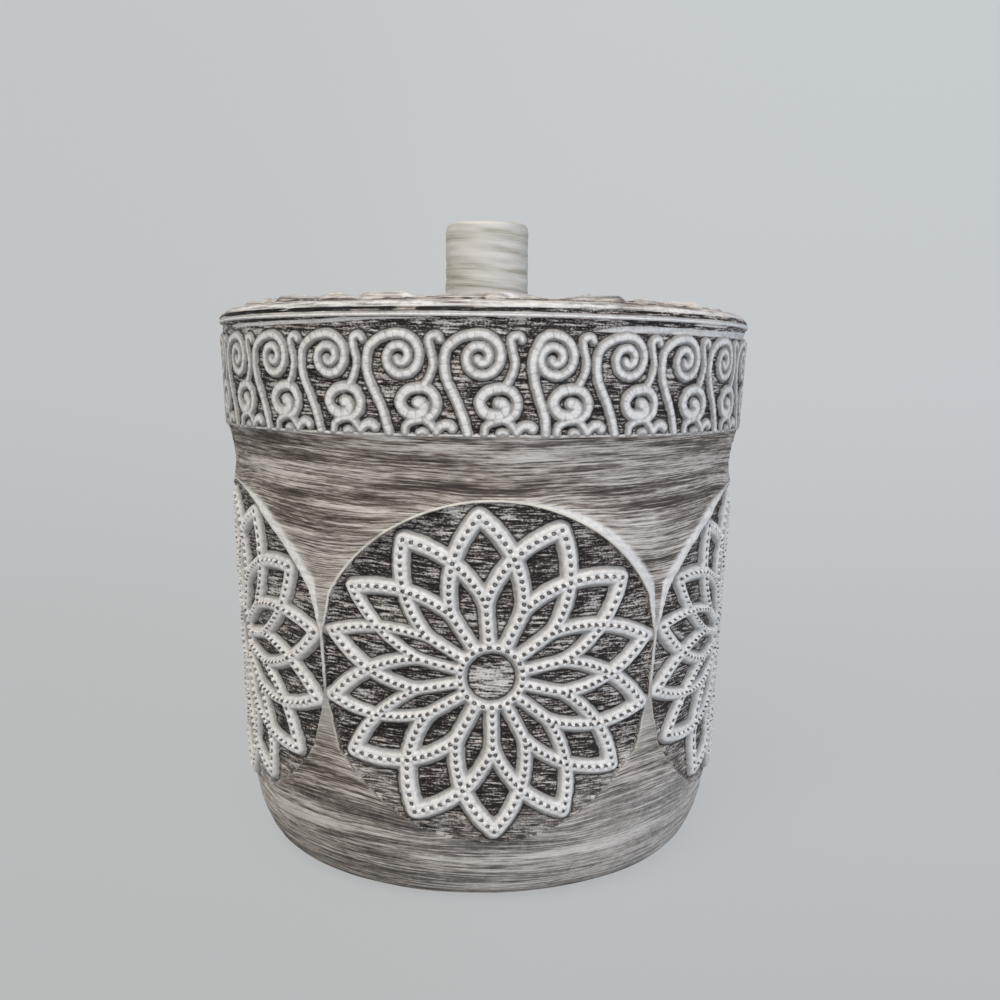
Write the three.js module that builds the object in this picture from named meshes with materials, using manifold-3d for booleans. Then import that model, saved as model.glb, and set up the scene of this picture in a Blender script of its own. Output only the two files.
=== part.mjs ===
// Storage jar cast in stone resin with a whitewashed driftwood look: a round canister with a banded rim,
// five round flower medallions side by side on its wall, and a lid with a knob that lifts straight off.
// Lengths are in millimetres, +Z is up, and the origin is on the floor under the middle of the jar.
// Angles about Z are counted from the front, which is -Y, towards +X.

import * as THREE from "three";
import { mergeVertices } from "three/addons/utils/BufferGeometryUtils.js";
import Module from "manifold-3d";

const wasm = await Module();
wasm.setup();

// Driving dimensions that several pieces share
const clearance = 0.3;
const overrun = 2;
const padStand = 0.8;
const jarHeight = 100.9;
const rimRadius = 52.5;
const rimWidth = 6.5;
const mouthRadius = rimRadius - rimWidth;
const seatHeight = padStand + jarHeight;

// Jar wall, outside: a banded rim over a cove, a tapered wall and an elliptical corner
const bandHeight = 19.4;
const bandTaper = 1.1;
const bandStep = 0.45;
const lipHeight = 1.8;
const scrollRelief = 0.7;
const rimRounding = 0.6;
const bandFootRadius = rimRadius - bandTaper;
const bandFootHeight = seatHeight - bandHeight;
const coveHeight = 15.5;
const coveSink = 1.85;
const wallTopSink = 1.2;
const wallTopRadius = bandFootRadius - wallTopSink;
const wallTopHeight = bandFootHeight - coveHeight;
const wallTaper = 2.8;
const wallFootRadius = wallTopRadius - wallTaper;
const cornerRun = 6.1;
const cornerHeight = 23;
const underRadius = wallFootRadius - cornerRun;
const wallFacets = 50;
const cornerSteps = 4;
const coveSteps = 3;
const rimSteps = 2;

// Jar, inside
const floorThickness = 6;
const wallThickness = 4.9;
const mouthDepth = 12;
const mouthRounding = 1.2;
const cavityFootRadius = wallFootRadius - wallThickness;
const cavityCorner = 10;
const cavityFacets = 36;

// Medallions: round discs bent onto the wall, sunk into it more and more from the foot upward
const medallionCount = 5;
const medallionFoot = 11.75;
const medallionTopDrop = 10.65;
const medallionRadius = (bandFootHeight - medallionTopDrop - padStand - medallionFoot) / 2;
const medallionHeight = padStand + medallionFoot + medallionRadius;
const medallionDepth = 1.2;
const medallionRoot = 0.8;
const medallionMargin = 0.3;
const medallionFacets = 36;
const swapMargin = 0.001;
const fieldSteps = 4;
const ridgeWidth = 0.9;

// The flower on each medallion: a lattice of raised ribs. A petal's edges are arcs from its tip to the
// spokes of the two petals beside it, and cross the edges of those petals on the way.
const petalCount = 14;
const petalInset = 2.35;
const bellyReachShare = 0.72;
const bellyWidthShare = 0.169;
const spokeReachShare = 0.452;
const ribWidth = 2.7;
const ribHeight = 0.9;
const spokeWidth = 2.1;
const hubRadius = 5.9;
const hubWall = 1.6;
const arcSteps = 2;

// Foot pads
const padCount = 4;
const padRadius = 5;
const padPocketDepth = 0.7;
const padInset = 8.3;
const padCircleRadius = underRadius - padInset;
const padFacets = 18;

// Lid, with the same flower enlarged on its top
const lidOverhang = 0.2;
const lidRadius = rimRadius + lidOverhang;
const lidEdgeHeight = 1;
const lidStep = 0.8;
const lidTopHeight = 2.4;
const lidShoulderRun = 3.4;
const shoulderSteps = 3;
const lidFlowerInset = 5;
const lidFlowerRadius = lidRadius - lidFlowerInset;
const lidRibWidth = 3.6;
const lidRibHeight = 1.2;
const bossRadius = 10.5;
const webThickness = 4.8;
const plugDepth = 8;
const plugGap = 1.2;
const plugWall = 4;
const lidFacets = 50;

// Seal ring in the plug's groove
const grooveDepth = 1.8;
const grooveWidth = 3;
const grooveDrop = 2.5;
const sealLipHeight = 0.8;
const sealLipDepth = 0.9;
const sealFacets = 36;

// Knob and the screw that holds it from below
const knobRadius = 8.35;
const knobHeight = 17;
const knobRounding = 0.9;
const knobFacets = 36;
const roundingSteps = 3;
const screwRadius = 2;
const screwBite = 11;
const screwTip = 1.5;
const screwHeadRadius = 3.8;
const screwHeadHeight = 2.2;
const screwSlotWidth = 0.9;
const screwSlotDepth = 1.1;
const screwFacets = 20;
const washerRadius = 6;
const washerThickness = 0.8;

const castResin = new THREE.MeshStandardMaterial({ color: 0x8b8684, roughness: 0.7, metalness: 0 });
const paleResin = new THREE.MeshStandardMaterial({ color: 0xcfc9bd, roughness: 0.65, metalness: 0 });
const silicone = new THREE.MeshStandardMaterial({ color: 0xe6e6e2, roughness: 0.45, metalness: 0 });
const zincSteel = new THREE.MeshStandardMaterial({ color: 0xb9bbbd, roughness: 0.35, metalness: 1 });
const softFoam = new THREE.MeshStandardMaterial({ color: 0x3a3a3c, roughness: 0.9, metalness: 0 });

const model = new THREE.Group();

// A solid of revolution about Z. The profile's points are [radius, height], and run outward along the
// underside, up the outside and back in.
function turned(profile, facets) {
  const points = profile.map(([radius, height]) => new THREE.Vector2(radius, height));
  return new THREE.LatheGeometry(points, facets).rotateX(Math.PI / 2);
}

// Points of an arc about [radius, height], from one angle to another in quarter turns from outward.
function arcPoints(centre, runRadius, runHeight, fromQuarter, toQuarter, steps) {
  const points = [];
  for (let i = 0; i <= steps; i += 1) {
    const angle = (fromQuarter + ((toQuarter - fromQuarter) * i) / steps) * (Math.PI / 2);
    points.push([centre[0] + runRadius * Math.cos(angle), centre[1] + runHeight * Math.sin(angle)]);
  }
  return points;
}

// Points of the quadratic curve that leaves one point, passes through a middle one and ends at the last.
function curvePoints(from, middle, to, steps) {
  const control = [0, 1].map((k) => 2 * middle[k] - (from[k] + to[k]) / 2);
  const curve = new THREE.QuadraticBezierCurve(
    new THREE.Vector2(...from), new THREE.Vector2(...control), new THREE.Vector2(...to));
  return curve.getPoints(steps).map((point) => [point.x, point.y]);
}

function toSolid(geometry) {
  const bare = geometry.clone();
  bare.deleteAttribute("normal");
  bare.deleteAttribute("uv");
  const merged = mergeVertices(bare);
  const corners = merged.index.array;
  const triangles = [];
  for (let i = 0; i < corners.length; i += 3) {
    const [a, b, c] = [corners[i], corners[i + 1], corners[i + 2]];
    if (a !== b && b !== c && c !== a) triangles.push(a, b, c);
  }
  return new wasm.Manifold(new wasm.Mesh({
    numProp: 3,
    vertProperties: merged.attributes.position.array,
    triVerts: new Uint32Array(triangles),
  }));
}

function toGeometry(solid) {
  const mesh = solid.getMesh();
  const geometry = new THREE.BufferGeometry();
  geometry.setAttribute("position", new THREE.BufferAttribute(mesh.vertProperties, mesh.numProp));
  geometry.setIndex(new THREE.BufferAttribute(mesh.triVerts, 1));
  geometry.computeVertexNormals();
  return geometry;
}

// Swaps edges between triangles of a plate's flat faces until none has a corner near another's middle,
// so that no long triangle cuts a corner when the plate is bent.
function evenTriangles(geometry) {
  const corners = geometry.index.array;
  const points = Array.from({ length: geometry.attributes.position.count }, (_, i) =>
    new THREE.Vector3().fromBufferAttribute(geometry.attributes.position, i));
  const cornerAngle = (at, left, right) =>
    points[left].clone().sub(points[at]).angleTo(points[right].clone().sub(points[at]));
  const following = (i) => (i % 3 === 2 ? i - 2 : i + 1);
  let swaps = 1;
  while (swaps > 0) {
    swaps = 0;
    const starts = new Map();
    corners.forEach((corner, i) => starts.set(`${corner},${corners[following(i)]}`, i));
    const changed = new Set();
    for (let i = 0; i < corners.length; i += 1) {
      const [j, k] = [following(i), following(following(i))];
      const [from, to, near] = [corners[i], corners[j], corners[k]];
      const across = starts.get(`${to},${from}`);
      const far = corners[following(following(across))];
      const pair = [Math.floor(i / 3), Math.floor(across / 3)];
      if (pair.some((triangle) => changed.has(triangle))) continue;
      if ([to, near, far].some((corner) => points[corner].z !== points[from].z)) continue;
      if (cornerAngle(near, from, to) + cornerAngle(far, from, to) < Math.PI + swapMargin) continue;
      corners.set([from, far, near], 3 * pair[0]);
      corners.set([far, to, near], 3 * pair[1]);
      pair.forEach((triangle) => changed.add(triangle));
      swaps += 1;
    }
  }
  return geometry;
}

function addPiece(name, geometry, material) {
  const mesh = new THREE.Mesh(geometry, material);
  mesh.name = name;
  model.add(mesh);
  return mesh;
}

// Radius of the plain wall at a height: an elliptical corner below, a straight taper above it.
function wallRadiusAt(height) {
  const cornerTop = padStand + cornerHeight;
  if (height >= cornerTop) {
    return wallFootRadius + (wallTaper * (height - cornerTop)) / (wallTopHeight - cornerTop);
  }
  const drop = Math.min(1, (cornerTop - height) / cornerHeight);
  return underRadius + cornerRun * Math.sqrt(1 - drop * drop);
}

// Radius of a medallion's field. Its depth below the wall grows evenly from nothing at the circle's
// lowest point to the full depth at its top.
function fieldRadiusAt(height) {
  const rise = height - (medallionHeight - medallionRadius);
  return wallRadiusAt(height) - (medallionDepth * rise) / (2 * medallionRadius);
}

function jarOutline() {
  const lipFoot = seatHeight - lipHeight;
  const fieldFootRadius = bandFootRadius - scrollRelief / 2;
  const fieldTopRadius = rimRadius - scrollRelief;
  const cornerCentre = [underRadius, padStand + cornerHeight];
  const corner = arcPoints(cornerCentre, cornerRun, cornerHeight, -1, 0, cornerSteps);
  const coveEnd = [bandFootRadius - bandStep, bandFootHeight - bandStep];
  const waist = [bandFootRadius - coveSink, (wallTopHeight + coveEnd[1]) / 2];
  const cove = curvePoints([wallTopRadius, wallTopHeight], waist, coveEnd, coveSteps);
  const rimCentre = [rimRadius - rimRounding, seatHeight - rimRounding];
  const rim = arcPoints(rimCentre, rimRounding, rimRounding, 0, 1, rimSteps);
  return [
    [0, padStand],
    ...corner,
    ...cove,
    [bandFootRadius, bandFootHeight],
    [fieldFootRadius, bandFootHeight + bandStep],
    [(fieldFootRadius + fieldTopRadius + bandStep) / 2, (bandFootHeight + lipFoot) / 2],
    [fieldTopRadius, lipFoot - scrollRelief],
    [rimRadius, lipFoot],
    ...rim,
    [0, seatHeight],
  ];
}

function cavityOutline() {
  const floorHeight = padStand + floorThickness;
  const cornerCentre = [cavityFootRadius - cavityCorner, floorHeight + cavityCorner];
  const corner = arcPoints(cornerCentre, cavityCorner, cavityCorner, -1, 0, cornerSteps);
  return [
    [0, floorHeight],
    ...corner,
    [mouthRadius, seatHeight - mouthDepth],
    [mouthRadius, seatHeight - mouthRounding],
    [mouthRadius + mouthRounding, seatHeight],
    [mouthRadius + mouthRounding, seatHeight + overrun],
    [0, seatHeight + overrun],
  ];
}

// A medallion's outline. Neighbours would just overlap, so each circle is cut off beside the thin
// upright ridge that two of them share.
function medallionOutline(margin) {
  const radius = medallionRadius + margin;
  const contact = wallRadiusAt(medallionHeight) * Math.sin(Math.PI / medallionCount);
  const halfWidth = Math.min(radius, contact - ridgeWidth / 2 + margin);
  const cut = Math.acos(halfWidth / radius);
  const outline = new THREE.Shape();
  outline.absarc(0, 0, radius, cut, Math.PI - cut, false);
  outline.absarc(0, 0, radius, Math.PI + cut, 2 * Math.PI - cut, false);
  return outline.getPoints(medallionFacets / 4);
}

// Bends a flat plate onto the wall: its x becomes a chord, its y a height and its z a distance out
// from the medallion's field.
function bentOntoWall(flat) {
  const geometry = evenTriangles(toGeometry(flat));
  const position = geometry.attributes.position;
  for (let i = 0; i < position.count; i += 1) {
    const height = medallionHeight + position.getY(i);
    const field = fieldRadiusAt(height);
    const radius = field + position.getZ(i);
    const angle = Math.asin(position.getX(i) / field);
    position.setXYZ(i, radius * Math.sin(angle), -radius * Math.cos(angle), height);
  }
  return toSolid(geometry);
}

// Where the line from a point in a direction leaves a circle.
function lineExit(from, direction, circle) {
  const away = from.clone().sub(circle.centre);
  const half = away.dot(direction);
  const run = -half + Math.sqrt(half * half - away.lengthSq() + circle.radius * circle.radius);
  return from.clone().addScaledVector(direction, run);
}

// The crossing of two circles that lies farther from the flower's middle.
function circleCrossing(first, second) {
  const apart = second.centre.clone().sub(first.centre);
  const gap = apart.length();
  const along = (gap * gap + first.radius ** 2 - second.radius ** 2) / (2 * gap);
  const across = Math.sqrt(first.radius ** 2 - along * along);
  apart.divideScalar(gap);
  const side = new THREE.Vector2(-apart.y, apart.x);
  const foot = first.centre.clone().addScaledVector(apart, along);
  const crossings = [across, -across].map((reach) => foot.clone().addScaledVector(side, reach));
  return crossings[0].lengthSq() > crossings[1].lengthSq() ? crossings[0] : crossings[1];
}

// Points along a circle from one point up to, but not including, another.
function arcBetween(circle, from, to, steps) {
  const first = from.clone().sub(circle.centre);
  const last = to.clone().sub(circle.centre);
  const turn = Math.atan2(first.cross(last), first.dot(last));
  return Array.from({ length: steps }, (_, i) =>
    from.clone().rotateAround(circle.centre, (turn * i) / steps));
}

function mirrored(points) {
  return points.map((point) => new THREE.Vector2(-point.x, point.y)).reverse();
}

function swung(points, angle) {
  return points.map((point) => point.clone().rotateAround(new THREE.Vector2(), -angle));
}

// The circle that a petal's right edge follows, with the petal pointing up: through its tip, its widest
// place and the end of the next petal's spoke.
function petalCircle(length, pitch) {
  const tip = new THREE.Vector2(0, length);
  const belly = new THREE.Vector2(length * bellyWidthShare, length * bellyReachShare);
  const root = new THREE.Vector2(0, length * spokeReachShare).rotateAround(new THREE.Vector2(), -pitch);
  const first = belly.sub(tip);
  const second = root.sub(tip);
  const twice = 2 * first.cross(second);
  const centre = new THREE.Vector2(
    (second.y * first.lengthSq() - first.y * second.lengthSq()) / twice,
    (first.x * second.lengthSq() - second.x * first.lengthSq()) / twice);
  return { centre: centre.clone().add(tip), radius: centre.length() };
}

// The flat flower, from one depth to another: the outline round the petal tips, less a diamond inside
// each tip, a kite between each two spokes and the round hole of the hub.
function flowerPlate(length, width, hub, from, to) {
  const pitch = (2 * Math.PI) / petalCount;
  const middle = new THREE.Vector2();
  const up = new THREE.Vector2(0, 1);
  const between = up.clone().rotateAround(middle, -pitch / 2);
  const edge = petalCircle(length, pitch);
  const outer = { centre: edge.centre, radius: edge.radius + width / 2 };
  const inner = { centre: edge.centre, radius: edge.radius - width / 2 };
  const nextCentre = new THREE.Vector2(-edge.centre.x, edge.centre.y).rotateAround(middle, -pitch);
  const nextOuter = { centre: nextCentre, radius: outer.radius };

  const tip = lineExit(middle, up, outer);
  const notch = lineExit(middle, between, outer);
  const outlineHalf = arcBetween(outer, tip, notch, arcSteps);

  const diamondTop = lineExit(middle, up, inner);
  const diamondSide = circleCrossing(inner, nextOuter);
  const diamondFoot = lineExit(middle, up, nextOuter);
  const diamondHalf = [
    ...arcBetween(inner, diamondTop, diamondSide, arcSteps),
    ...arcBetween(nextOuter, diamondSide, diamondFoot, arcSteps)];

  const spoke = up.clone().rotateAround(middle, -pitch);
  const spokeSide = new THREE.Vector2(-spokeWidth / 2, 0).rotateAround(middle, -pitch);
  const kiteTop = lineExit(middle, between, inner);
  const kiteSide = lineExit(spokeSide, spoke, inner);
  const kiteFoot = lineExit(spokeSide, spoke, { centre: middle, radius: hub });
  const kiteHalf = swung([kiteTop, kiteSide, kiteFoot], -pitch / 2);

  const outline = [];
  const holes = [new THREE.Path().absarc(0, 0, hub - hubWall, 0, 2 * Math.PI).getPoints(petalCount / 2)];
  for (let i = 0; i < petalCount; i += 1) {
    outline.push(...swung([...mirrored(outlineHalf.slice(1)), ...outlineHalf, notch], i * pitch));
    holes.push(swung([...diamondHalf, diamondFoot, ...mirrored(diamondHalf.slice(1))], i * pitch));
    holes.push(swung([...kiteHalf, ...mirrored(kiteHalf.slice(1))], (i + 1 / 2) * pitch));
  }
  let plate = prism(outline, from, to);
  for (const hole of holes) plate = plate.subtract(prism(hole, from - overrun, to + overrun));
  return plate;
}

function prism(points, from, to) {
  const shape = new THREE.Shape(points);
  const geometry = new THREE.ExtrudeGeometry(shape, { depth: to - from, bevelEnabled: false });
  return toSolid(geometry.translate(0, 0, from));
}

function medallion() {
  const disc = prism(medallionOutline(medallionMargin), -medallionRoot, 0);
  const length = medallionRadius - petalInset;
  const flower = flowerPlate(length, ribWidth, hubRadius, -medallionRoot / 2, ribHeight);
  return bentOntoWall(disc.add(flower));
}

// The cut that clears the wall away over a medallion, down to halfway through the disc. Its outer end
// is flat, so it reaches out far enough for the flat's middle to clear the rim.
function medallionRecess() {
  const lowest = medallionHeight - medallionRadius;
  const profile = [[0, lowest - overrun]];
  for (let i = 0; i <= fieldSteps; i += 1) {
    const height = lowest - overrun + (2 * (medallionRadius + overrun) * i) / fieldSteps;
    profile.push([fieldRadiusAt(height) - medallionRoot / 2, height]);
  }
  profile.push([0, medallionHeight + medallionRadius + overrun]);
  const reach = (rimRadius + overrun) / Math.cos(Math.PI / medallionCount) - underRadius;
  const cut = bentOntoWall(prism(medallionOutline(0), -medallionRoot, reach));
  return cut.subtract(toSolid(turned(profile, wallFacets)));
}

function padPocket(angle) {
  const pocket = new THREE.CylinderGeometry(
    padRadius + clearance, padRadius + clearance, padPocketDepth + overrun, padFacets);
  pocket.rotateX(Math.PI / 2).translate(0, -padCircleRadius, padStand + (padPocketDepth - overrun) / 2);
  return pocket.rotateZ(angle);
}

function padAngles() {
  return Array.from({ length: padCount }, (_, i) => (2 * Math.PI * (i + 1 / 2)) / padCount);
}

function jarBody() {
  let solid = toSolid(turned(jarOutline(), wallFacets));
  const recess = medallionRecess();
  const insert = medallion();
  for (let i = 0; i < medallionCount; i += 1) {
    const turn = [0, 0, (360 * i) / medallionCount];
    solid = solid.subtract(recess.rotate(turn)).add(insert.rotate(turn));
  }
  solid = solid.subtract(toSolid(turned(cavityOutline(), cavityFacets)));
  for (const angle of padAngles()) solid = solid.subtract(toSolid(padPocket(angle)));
  return toGeometry(solid);
}

function footPad(angle) {
  const thickness = padStand + padPocketDepth;
  const pad = new THREE.CylinderGeometry(padRadius, padRadius, thickness, padFacets);
  return pad.rotateX(Math.PI / 2).translate(0, -padCircleRadius, thickness / 2).rotateZ(angle);
}

// The lid's web, its plug with the groove for the seal, and the raised boss under the knob.
function lidOutline() {
  const holeRadius = screwRadius + clearance;
  const plugRadius = mouthRadius - plugGap;
  const webUnder = seatHeight + lidTopHeight - webThickness;
  const plugFoot = seatHeight - plugDepth;
  const grooveTop = seatHeight - grooveDrop;
  const top = seatHeight + lidTopHeight;
  const shoulderRadius = lidRadius - lidStep;
  const shoulder = arcPoints([shoulderRadius - lidShoulderRun, seatHeight + lidEdgeHeight], lidShoulderRun,
    lidTopHeight - lidEdgeHeight, 0, 1, shoulderSteps);
  const bossTop = top + lidRibHeight;
  return [
    [holeRadius, webUnder],
    [plugRadius - plugWall, webUnder],
    [plugRadius - plugWall, plugFoot],
    [plugRadius, plugFoot],
    [plugRadius, grooveTop - grooveWidth],
    [plugRadius - grooveDepth, grooveTop - grooveWidth],
    [plugRadius - grooveDepth, grooveTop],
    [plugRadius, grooveTop],
    [plugRadius, seatHeight],
    [lidRadius, seatHeight],
    [lidRadius, seatHeight + lidEdgeHeight],
    ...shoulder,
    [bossRadius, top],
    [bossRadius, bossTop],
    [holeRadius, bossTop],
    [holeRadius, webUnder],
  ];
}

function lid() {
  const top = seatHeight + lidTopHeight;
  const flower = flowerPlate(lidFlowerRadius - lidRibWidth / 2, lidRibWidth, bossRadius, top - lidRibHeight,
    top + lidRibHeight);
  return toGeometry(toSolid(turned(lidOutline(), lidFacets)).add(flower));
}

// A soft ring with two lips that reach for the mouth's wall.
function lidSeal() {
  const inner = mouthRadius - plugGap - grooveDepth + clearance;
  const outer = mouthRadius - clearance;
  const low = seatHeight - grooveDrop - grooveWidth;
  const high = seatHeight - grooveDrop - clearance;
  const waist = outer - sealLipDepth;
  return turned([
    [inner, low],
    [waist, low],
    [outer, low + sealLipHeight / 2],
    [waist, low + sealLipHeight],
    [waist, high - sealLipHeight],
    [outer, high - sealLipHeight / 2],
    [waist, high],
    [inner, high],
    [inner, low],
  ], sealFacets);
}

function knob() {
  const foot = seatHeight + lidTopHeight + lidRibHeight;
  const holeRadius = screwRadius + clearance;
  const holeTop = foot + screwBite + clearance;
  const rounding = arcPoints([knobRadius - knobRounding, foot + knobHeight - knobRounding],
    knobRounding, knobRounding, 0, 1, roundingSteps);
  return turned([
    [0, holeTop],
    [holeRadius, holeTop],
    [holeRadius, foot],
    [knobRadius, foot],
    ...rounding,
    [0, foot + knobHeight],
  ], knobFacets);
}

function knobWasher() {
  const high = seatHeight + lidTopHeight - webThickness;
  const low = high - washerThickness;
  const holeRadius = screwRadius + clearance;
  return turned([
    [holeRadius, low],
    [washerRadius, low],
    [washerRadius, high],
    [holeRadius, high],
    [holeRadius, low],
  ], screwFacets);
}

function knobScrew() {
  const headTop = seatHeight + lidTopHeight - webThickness - washerThickness;
  const headLow = headTop - screwHeadHeight;
  const tipTop = seatHeight + lidTopHeight + lidRibHeight + screwBite;
  const domeHeight = screwHeadHeight / 2;
  const dome = arcPoints([0, headTop - domeHeight], screwHeadRadius, domeHeight, -1, 0, roundingSteps);
  const body = toSolid(turned([
    ...dome,
    [screwHeadRadius, headTop],
    [screwRadius, headTop],
    [screwRadius, tipTop - screwTip],
    [0, tipTop],
  ], screwFacets));
  const slotHeight = screwSlotDepth + overrun;
  const slot = new THREE.BoxGeometry(2 * (screwHeadRadius + overrun), screwSlotWidth, slotHeight);
  slot.translate(0, 0, headLow + screwSlotDepth - slotHeight / 2);
  return toGeometry(body.subtract(toSolid(slot)));
}

addPiece("jar_body", jarBody(), castResin);
padAngles().forEach((angle, i) => addPiece(`foot_pad_${i + 1}`, footPad(angle), softFoam));
addPiece("lid", lid(), castResin);
addPiece("lid_seal", lidSeal(), silicone);
addPiece("lid_knob", knob(), paleResin);
addPiece("knob_washer", knobWasher(), zincSteel);
addPiece("knob_screw", knobScrew(), zincSteel);

export default model;
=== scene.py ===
import math

import bpy
import numpy as np
from mathutils import Matrix


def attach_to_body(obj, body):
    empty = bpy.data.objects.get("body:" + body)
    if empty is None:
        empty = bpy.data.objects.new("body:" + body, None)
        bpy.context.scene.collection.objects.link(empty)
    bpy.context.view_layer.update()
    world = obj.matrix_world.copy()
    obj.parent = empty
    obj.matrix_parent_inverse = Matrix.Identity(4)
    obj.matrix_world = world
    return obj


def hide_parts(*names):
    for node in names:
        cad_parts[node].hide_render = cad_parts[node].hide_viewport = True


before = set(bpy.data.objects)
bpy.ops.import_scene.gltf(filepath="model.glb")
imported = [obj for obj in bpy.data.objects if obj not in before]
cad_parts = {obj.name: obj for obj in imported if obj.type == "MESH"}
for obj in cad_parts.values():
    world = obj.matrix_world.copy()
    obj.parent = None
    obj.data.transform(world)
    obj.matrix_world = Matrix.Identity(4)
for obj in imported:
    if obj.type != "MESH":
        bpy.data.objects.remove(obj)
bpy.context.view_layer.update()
print("storage jar: frame loaded,", len(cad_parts), "CAD nodes")

# Lengths are millimetres until a mesh is written, and angles are counted from the front (-Y) towards +X.
millimetre = 0.001

# Numbers the CAD solids share
jar = {
    "standHeight": 0.8,
    "underRadius": 41.3,
    "cornerRun": 6.1,
    "cornerHeight": 23.0,
    "wallFootRadius": 47.4,
    "wallTopRadius": 50.2,
    "wallTopHeight": 66.8,
    "waistRadius": 49.55,
    "coveTopRadius": 50.95,
    "coveTopHeight": 81.85,
    "bandFootRadius": 51.4,
    "bandFootHeight": 82.3,
    "rimRadius": 52.5,
    "seatHeight": 101.7,
    "rimRounding": 0.3,
    "mouthRadius": 46.0,
    "mouthRounding": 1.2,
    "mouthFoot": 89.7,
    "cavityFootRadius": 42.5,
    "cavityCorner": 10.0,
    "floorHeight": 6.8,
    "padRadius": 5.3,
    "padCircle": 33.0,
    "padPocket": 0.7,
}
disc = {
    "count": 5,
    "radius": 29.55,
    "height": 42.1,
    "sink": 1.2,
}


# Smooth step: 0 below low, 1 above high, 3t^2 - 2t^3 of the share t in between.
def smooth(low, high, value):
    share = np.clip((value - low) / (high - low), 0, 1)
    return share * share * (3 - 2 * share)


# Angle brought back to between -180 and 180 degrees from the front, in radians.
def wrapped(angle):
    return np.mod(angle + np.pi, 2 * np.pi) - np.pi


# Streaks that run round the casting
grainMap = {"columns": 1024, "rows": 1024, "span": 128.0, "around": 314.16, "lengthPerSpread": 2.5}


# White noise blurred along and across the grain by a Gaussian in its spectrum, scaled to unit spread.
def streakMap(length, thickness, seed):
    noise = np.random.default_rng(seed).standard_normal((grainMap["rows"], grainMap["columns"]))
    across = np.fft.fftfreq(grainMap["rows"], grainMap["span"] / grainMap["rows"])[:, None]
    along = np.fft.rfftfreq(grainMap["columns"], grainMap["around"] / grainMap["columns"])[None, :]
    length, thickness = length / grainMap["lengthPerSpread"], thickness / grainMap["lengthPerSpread"]
    keep = np.exp(-2 * np.pi ** 2 * ((along * length) ** 2 + (across * thickness) ** 2))
    field = np.fft.irfft2(np.fft.rfft2(noise) * keep, s=noise.shape)
    return field / field.std()


# Bilinear reading of a streak map at an angle and a height; it repeats all round.
def readMap(name, angle, height):
    field = grain[name]
    column = angle / (2 * np.pi) * grainMap["columns"]
    row = height / grainMap["span"] * grainMap["rows"]
    left, low = np.floor(column).astype(int), np.floor(row).astype(int)
    right, rise = column - left, row - low
    at = lambda r, c: field[r % grainMap["rows"], c % grainMap["columns"]]
    lower = at(low, left) * (1 - right) + at(low, left + 1) * right
    upper = at(low + 1, left) * (1 - right) + at(low + 1, left + 1) * right
    return lower * (1 - rise) + upper * rise


grain = {
    "broad": streakMap(46, 5.0, 11),
    "middle": streakMap(26, 1.5, 12),
    "fine": streakMap(9, 0.55, 13),
    "chatter": streakMap(2.6, 0.5, 14),
    "wander": streakMap(60, 30, 15),
}
print("streak maps ready")


# The flower on a medallion and on the lid
flower = {
    "petals": 14,
    "length": 27.2,
    "bellyReach": 0.72,
    "bellyWidth": 0.169,
    "spokeReach": 0.452,
    "spokeHalf": 1.14,
    "tipHalf": 1.45,
    "ribHeight": 0.95,
    "hubInner": 4.25,
    "hubOuter": 6.1,
    "fillet": 0.26,
    "pearlPitch": 1.36,
}
# Degrees clockwise from the top at which the hand-cut petals really stand, against equal steps
petalDrift = [-4.9, -1.3, 2.2, 1.8, 1.6, 0.5, -1.6, -1.7, 1.7, 6.3, 1.3, 0.3, -6.9, -6.8]
evenPetals = [0] * flower["petals"]
petalPitch = 2 * np.pi / flower["petals"]
wallFlower = (flower["length"], 1.0, petalDrift, flower["pearlPitch"])
# Distance inside a rib or a field where none is near
farOutside = -3.0


# Larger of two values, rounded over where they are closer than the given reach: max plus h^2 / 4 reach.
def smoothMax(a, b, reach):
    h = np.clip(reach - np.abs(a - b), 0, None)
    return np.maximum(a, b) + h * h / (4 * reach)


# Centre and radius of the circle through a petal's tip, its belly and the end of the next spoke.
def petalCircle(length):
    tip = np.array([0, length])
    belly = np.array([length * flower["bellyWidth"], length * flower["bellyReach"]])
    root = length * flower["spokeReach"] * np.array([np.sin(petalPitch), np.cos(petalPitch)])
    sides = np.array([belly - tip, root - tip])
    centre = np.linalg.solve(2 * sides, (sides ** 2).sum(1))
    return centre + tip, np.hypot(*centre)


# Angles of the real petals and of the regular ones, over one turn and a little more.
def driftKnots(drift):
    regular = np.radians(np.arange(-1, flower["petals"] + 1) * 360 / flower["petals"])
    real = regular + np.radians(np.take(drift, range(-1, flower["petals"] + 1), mode="wrap"))
    return real, regular


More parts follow.
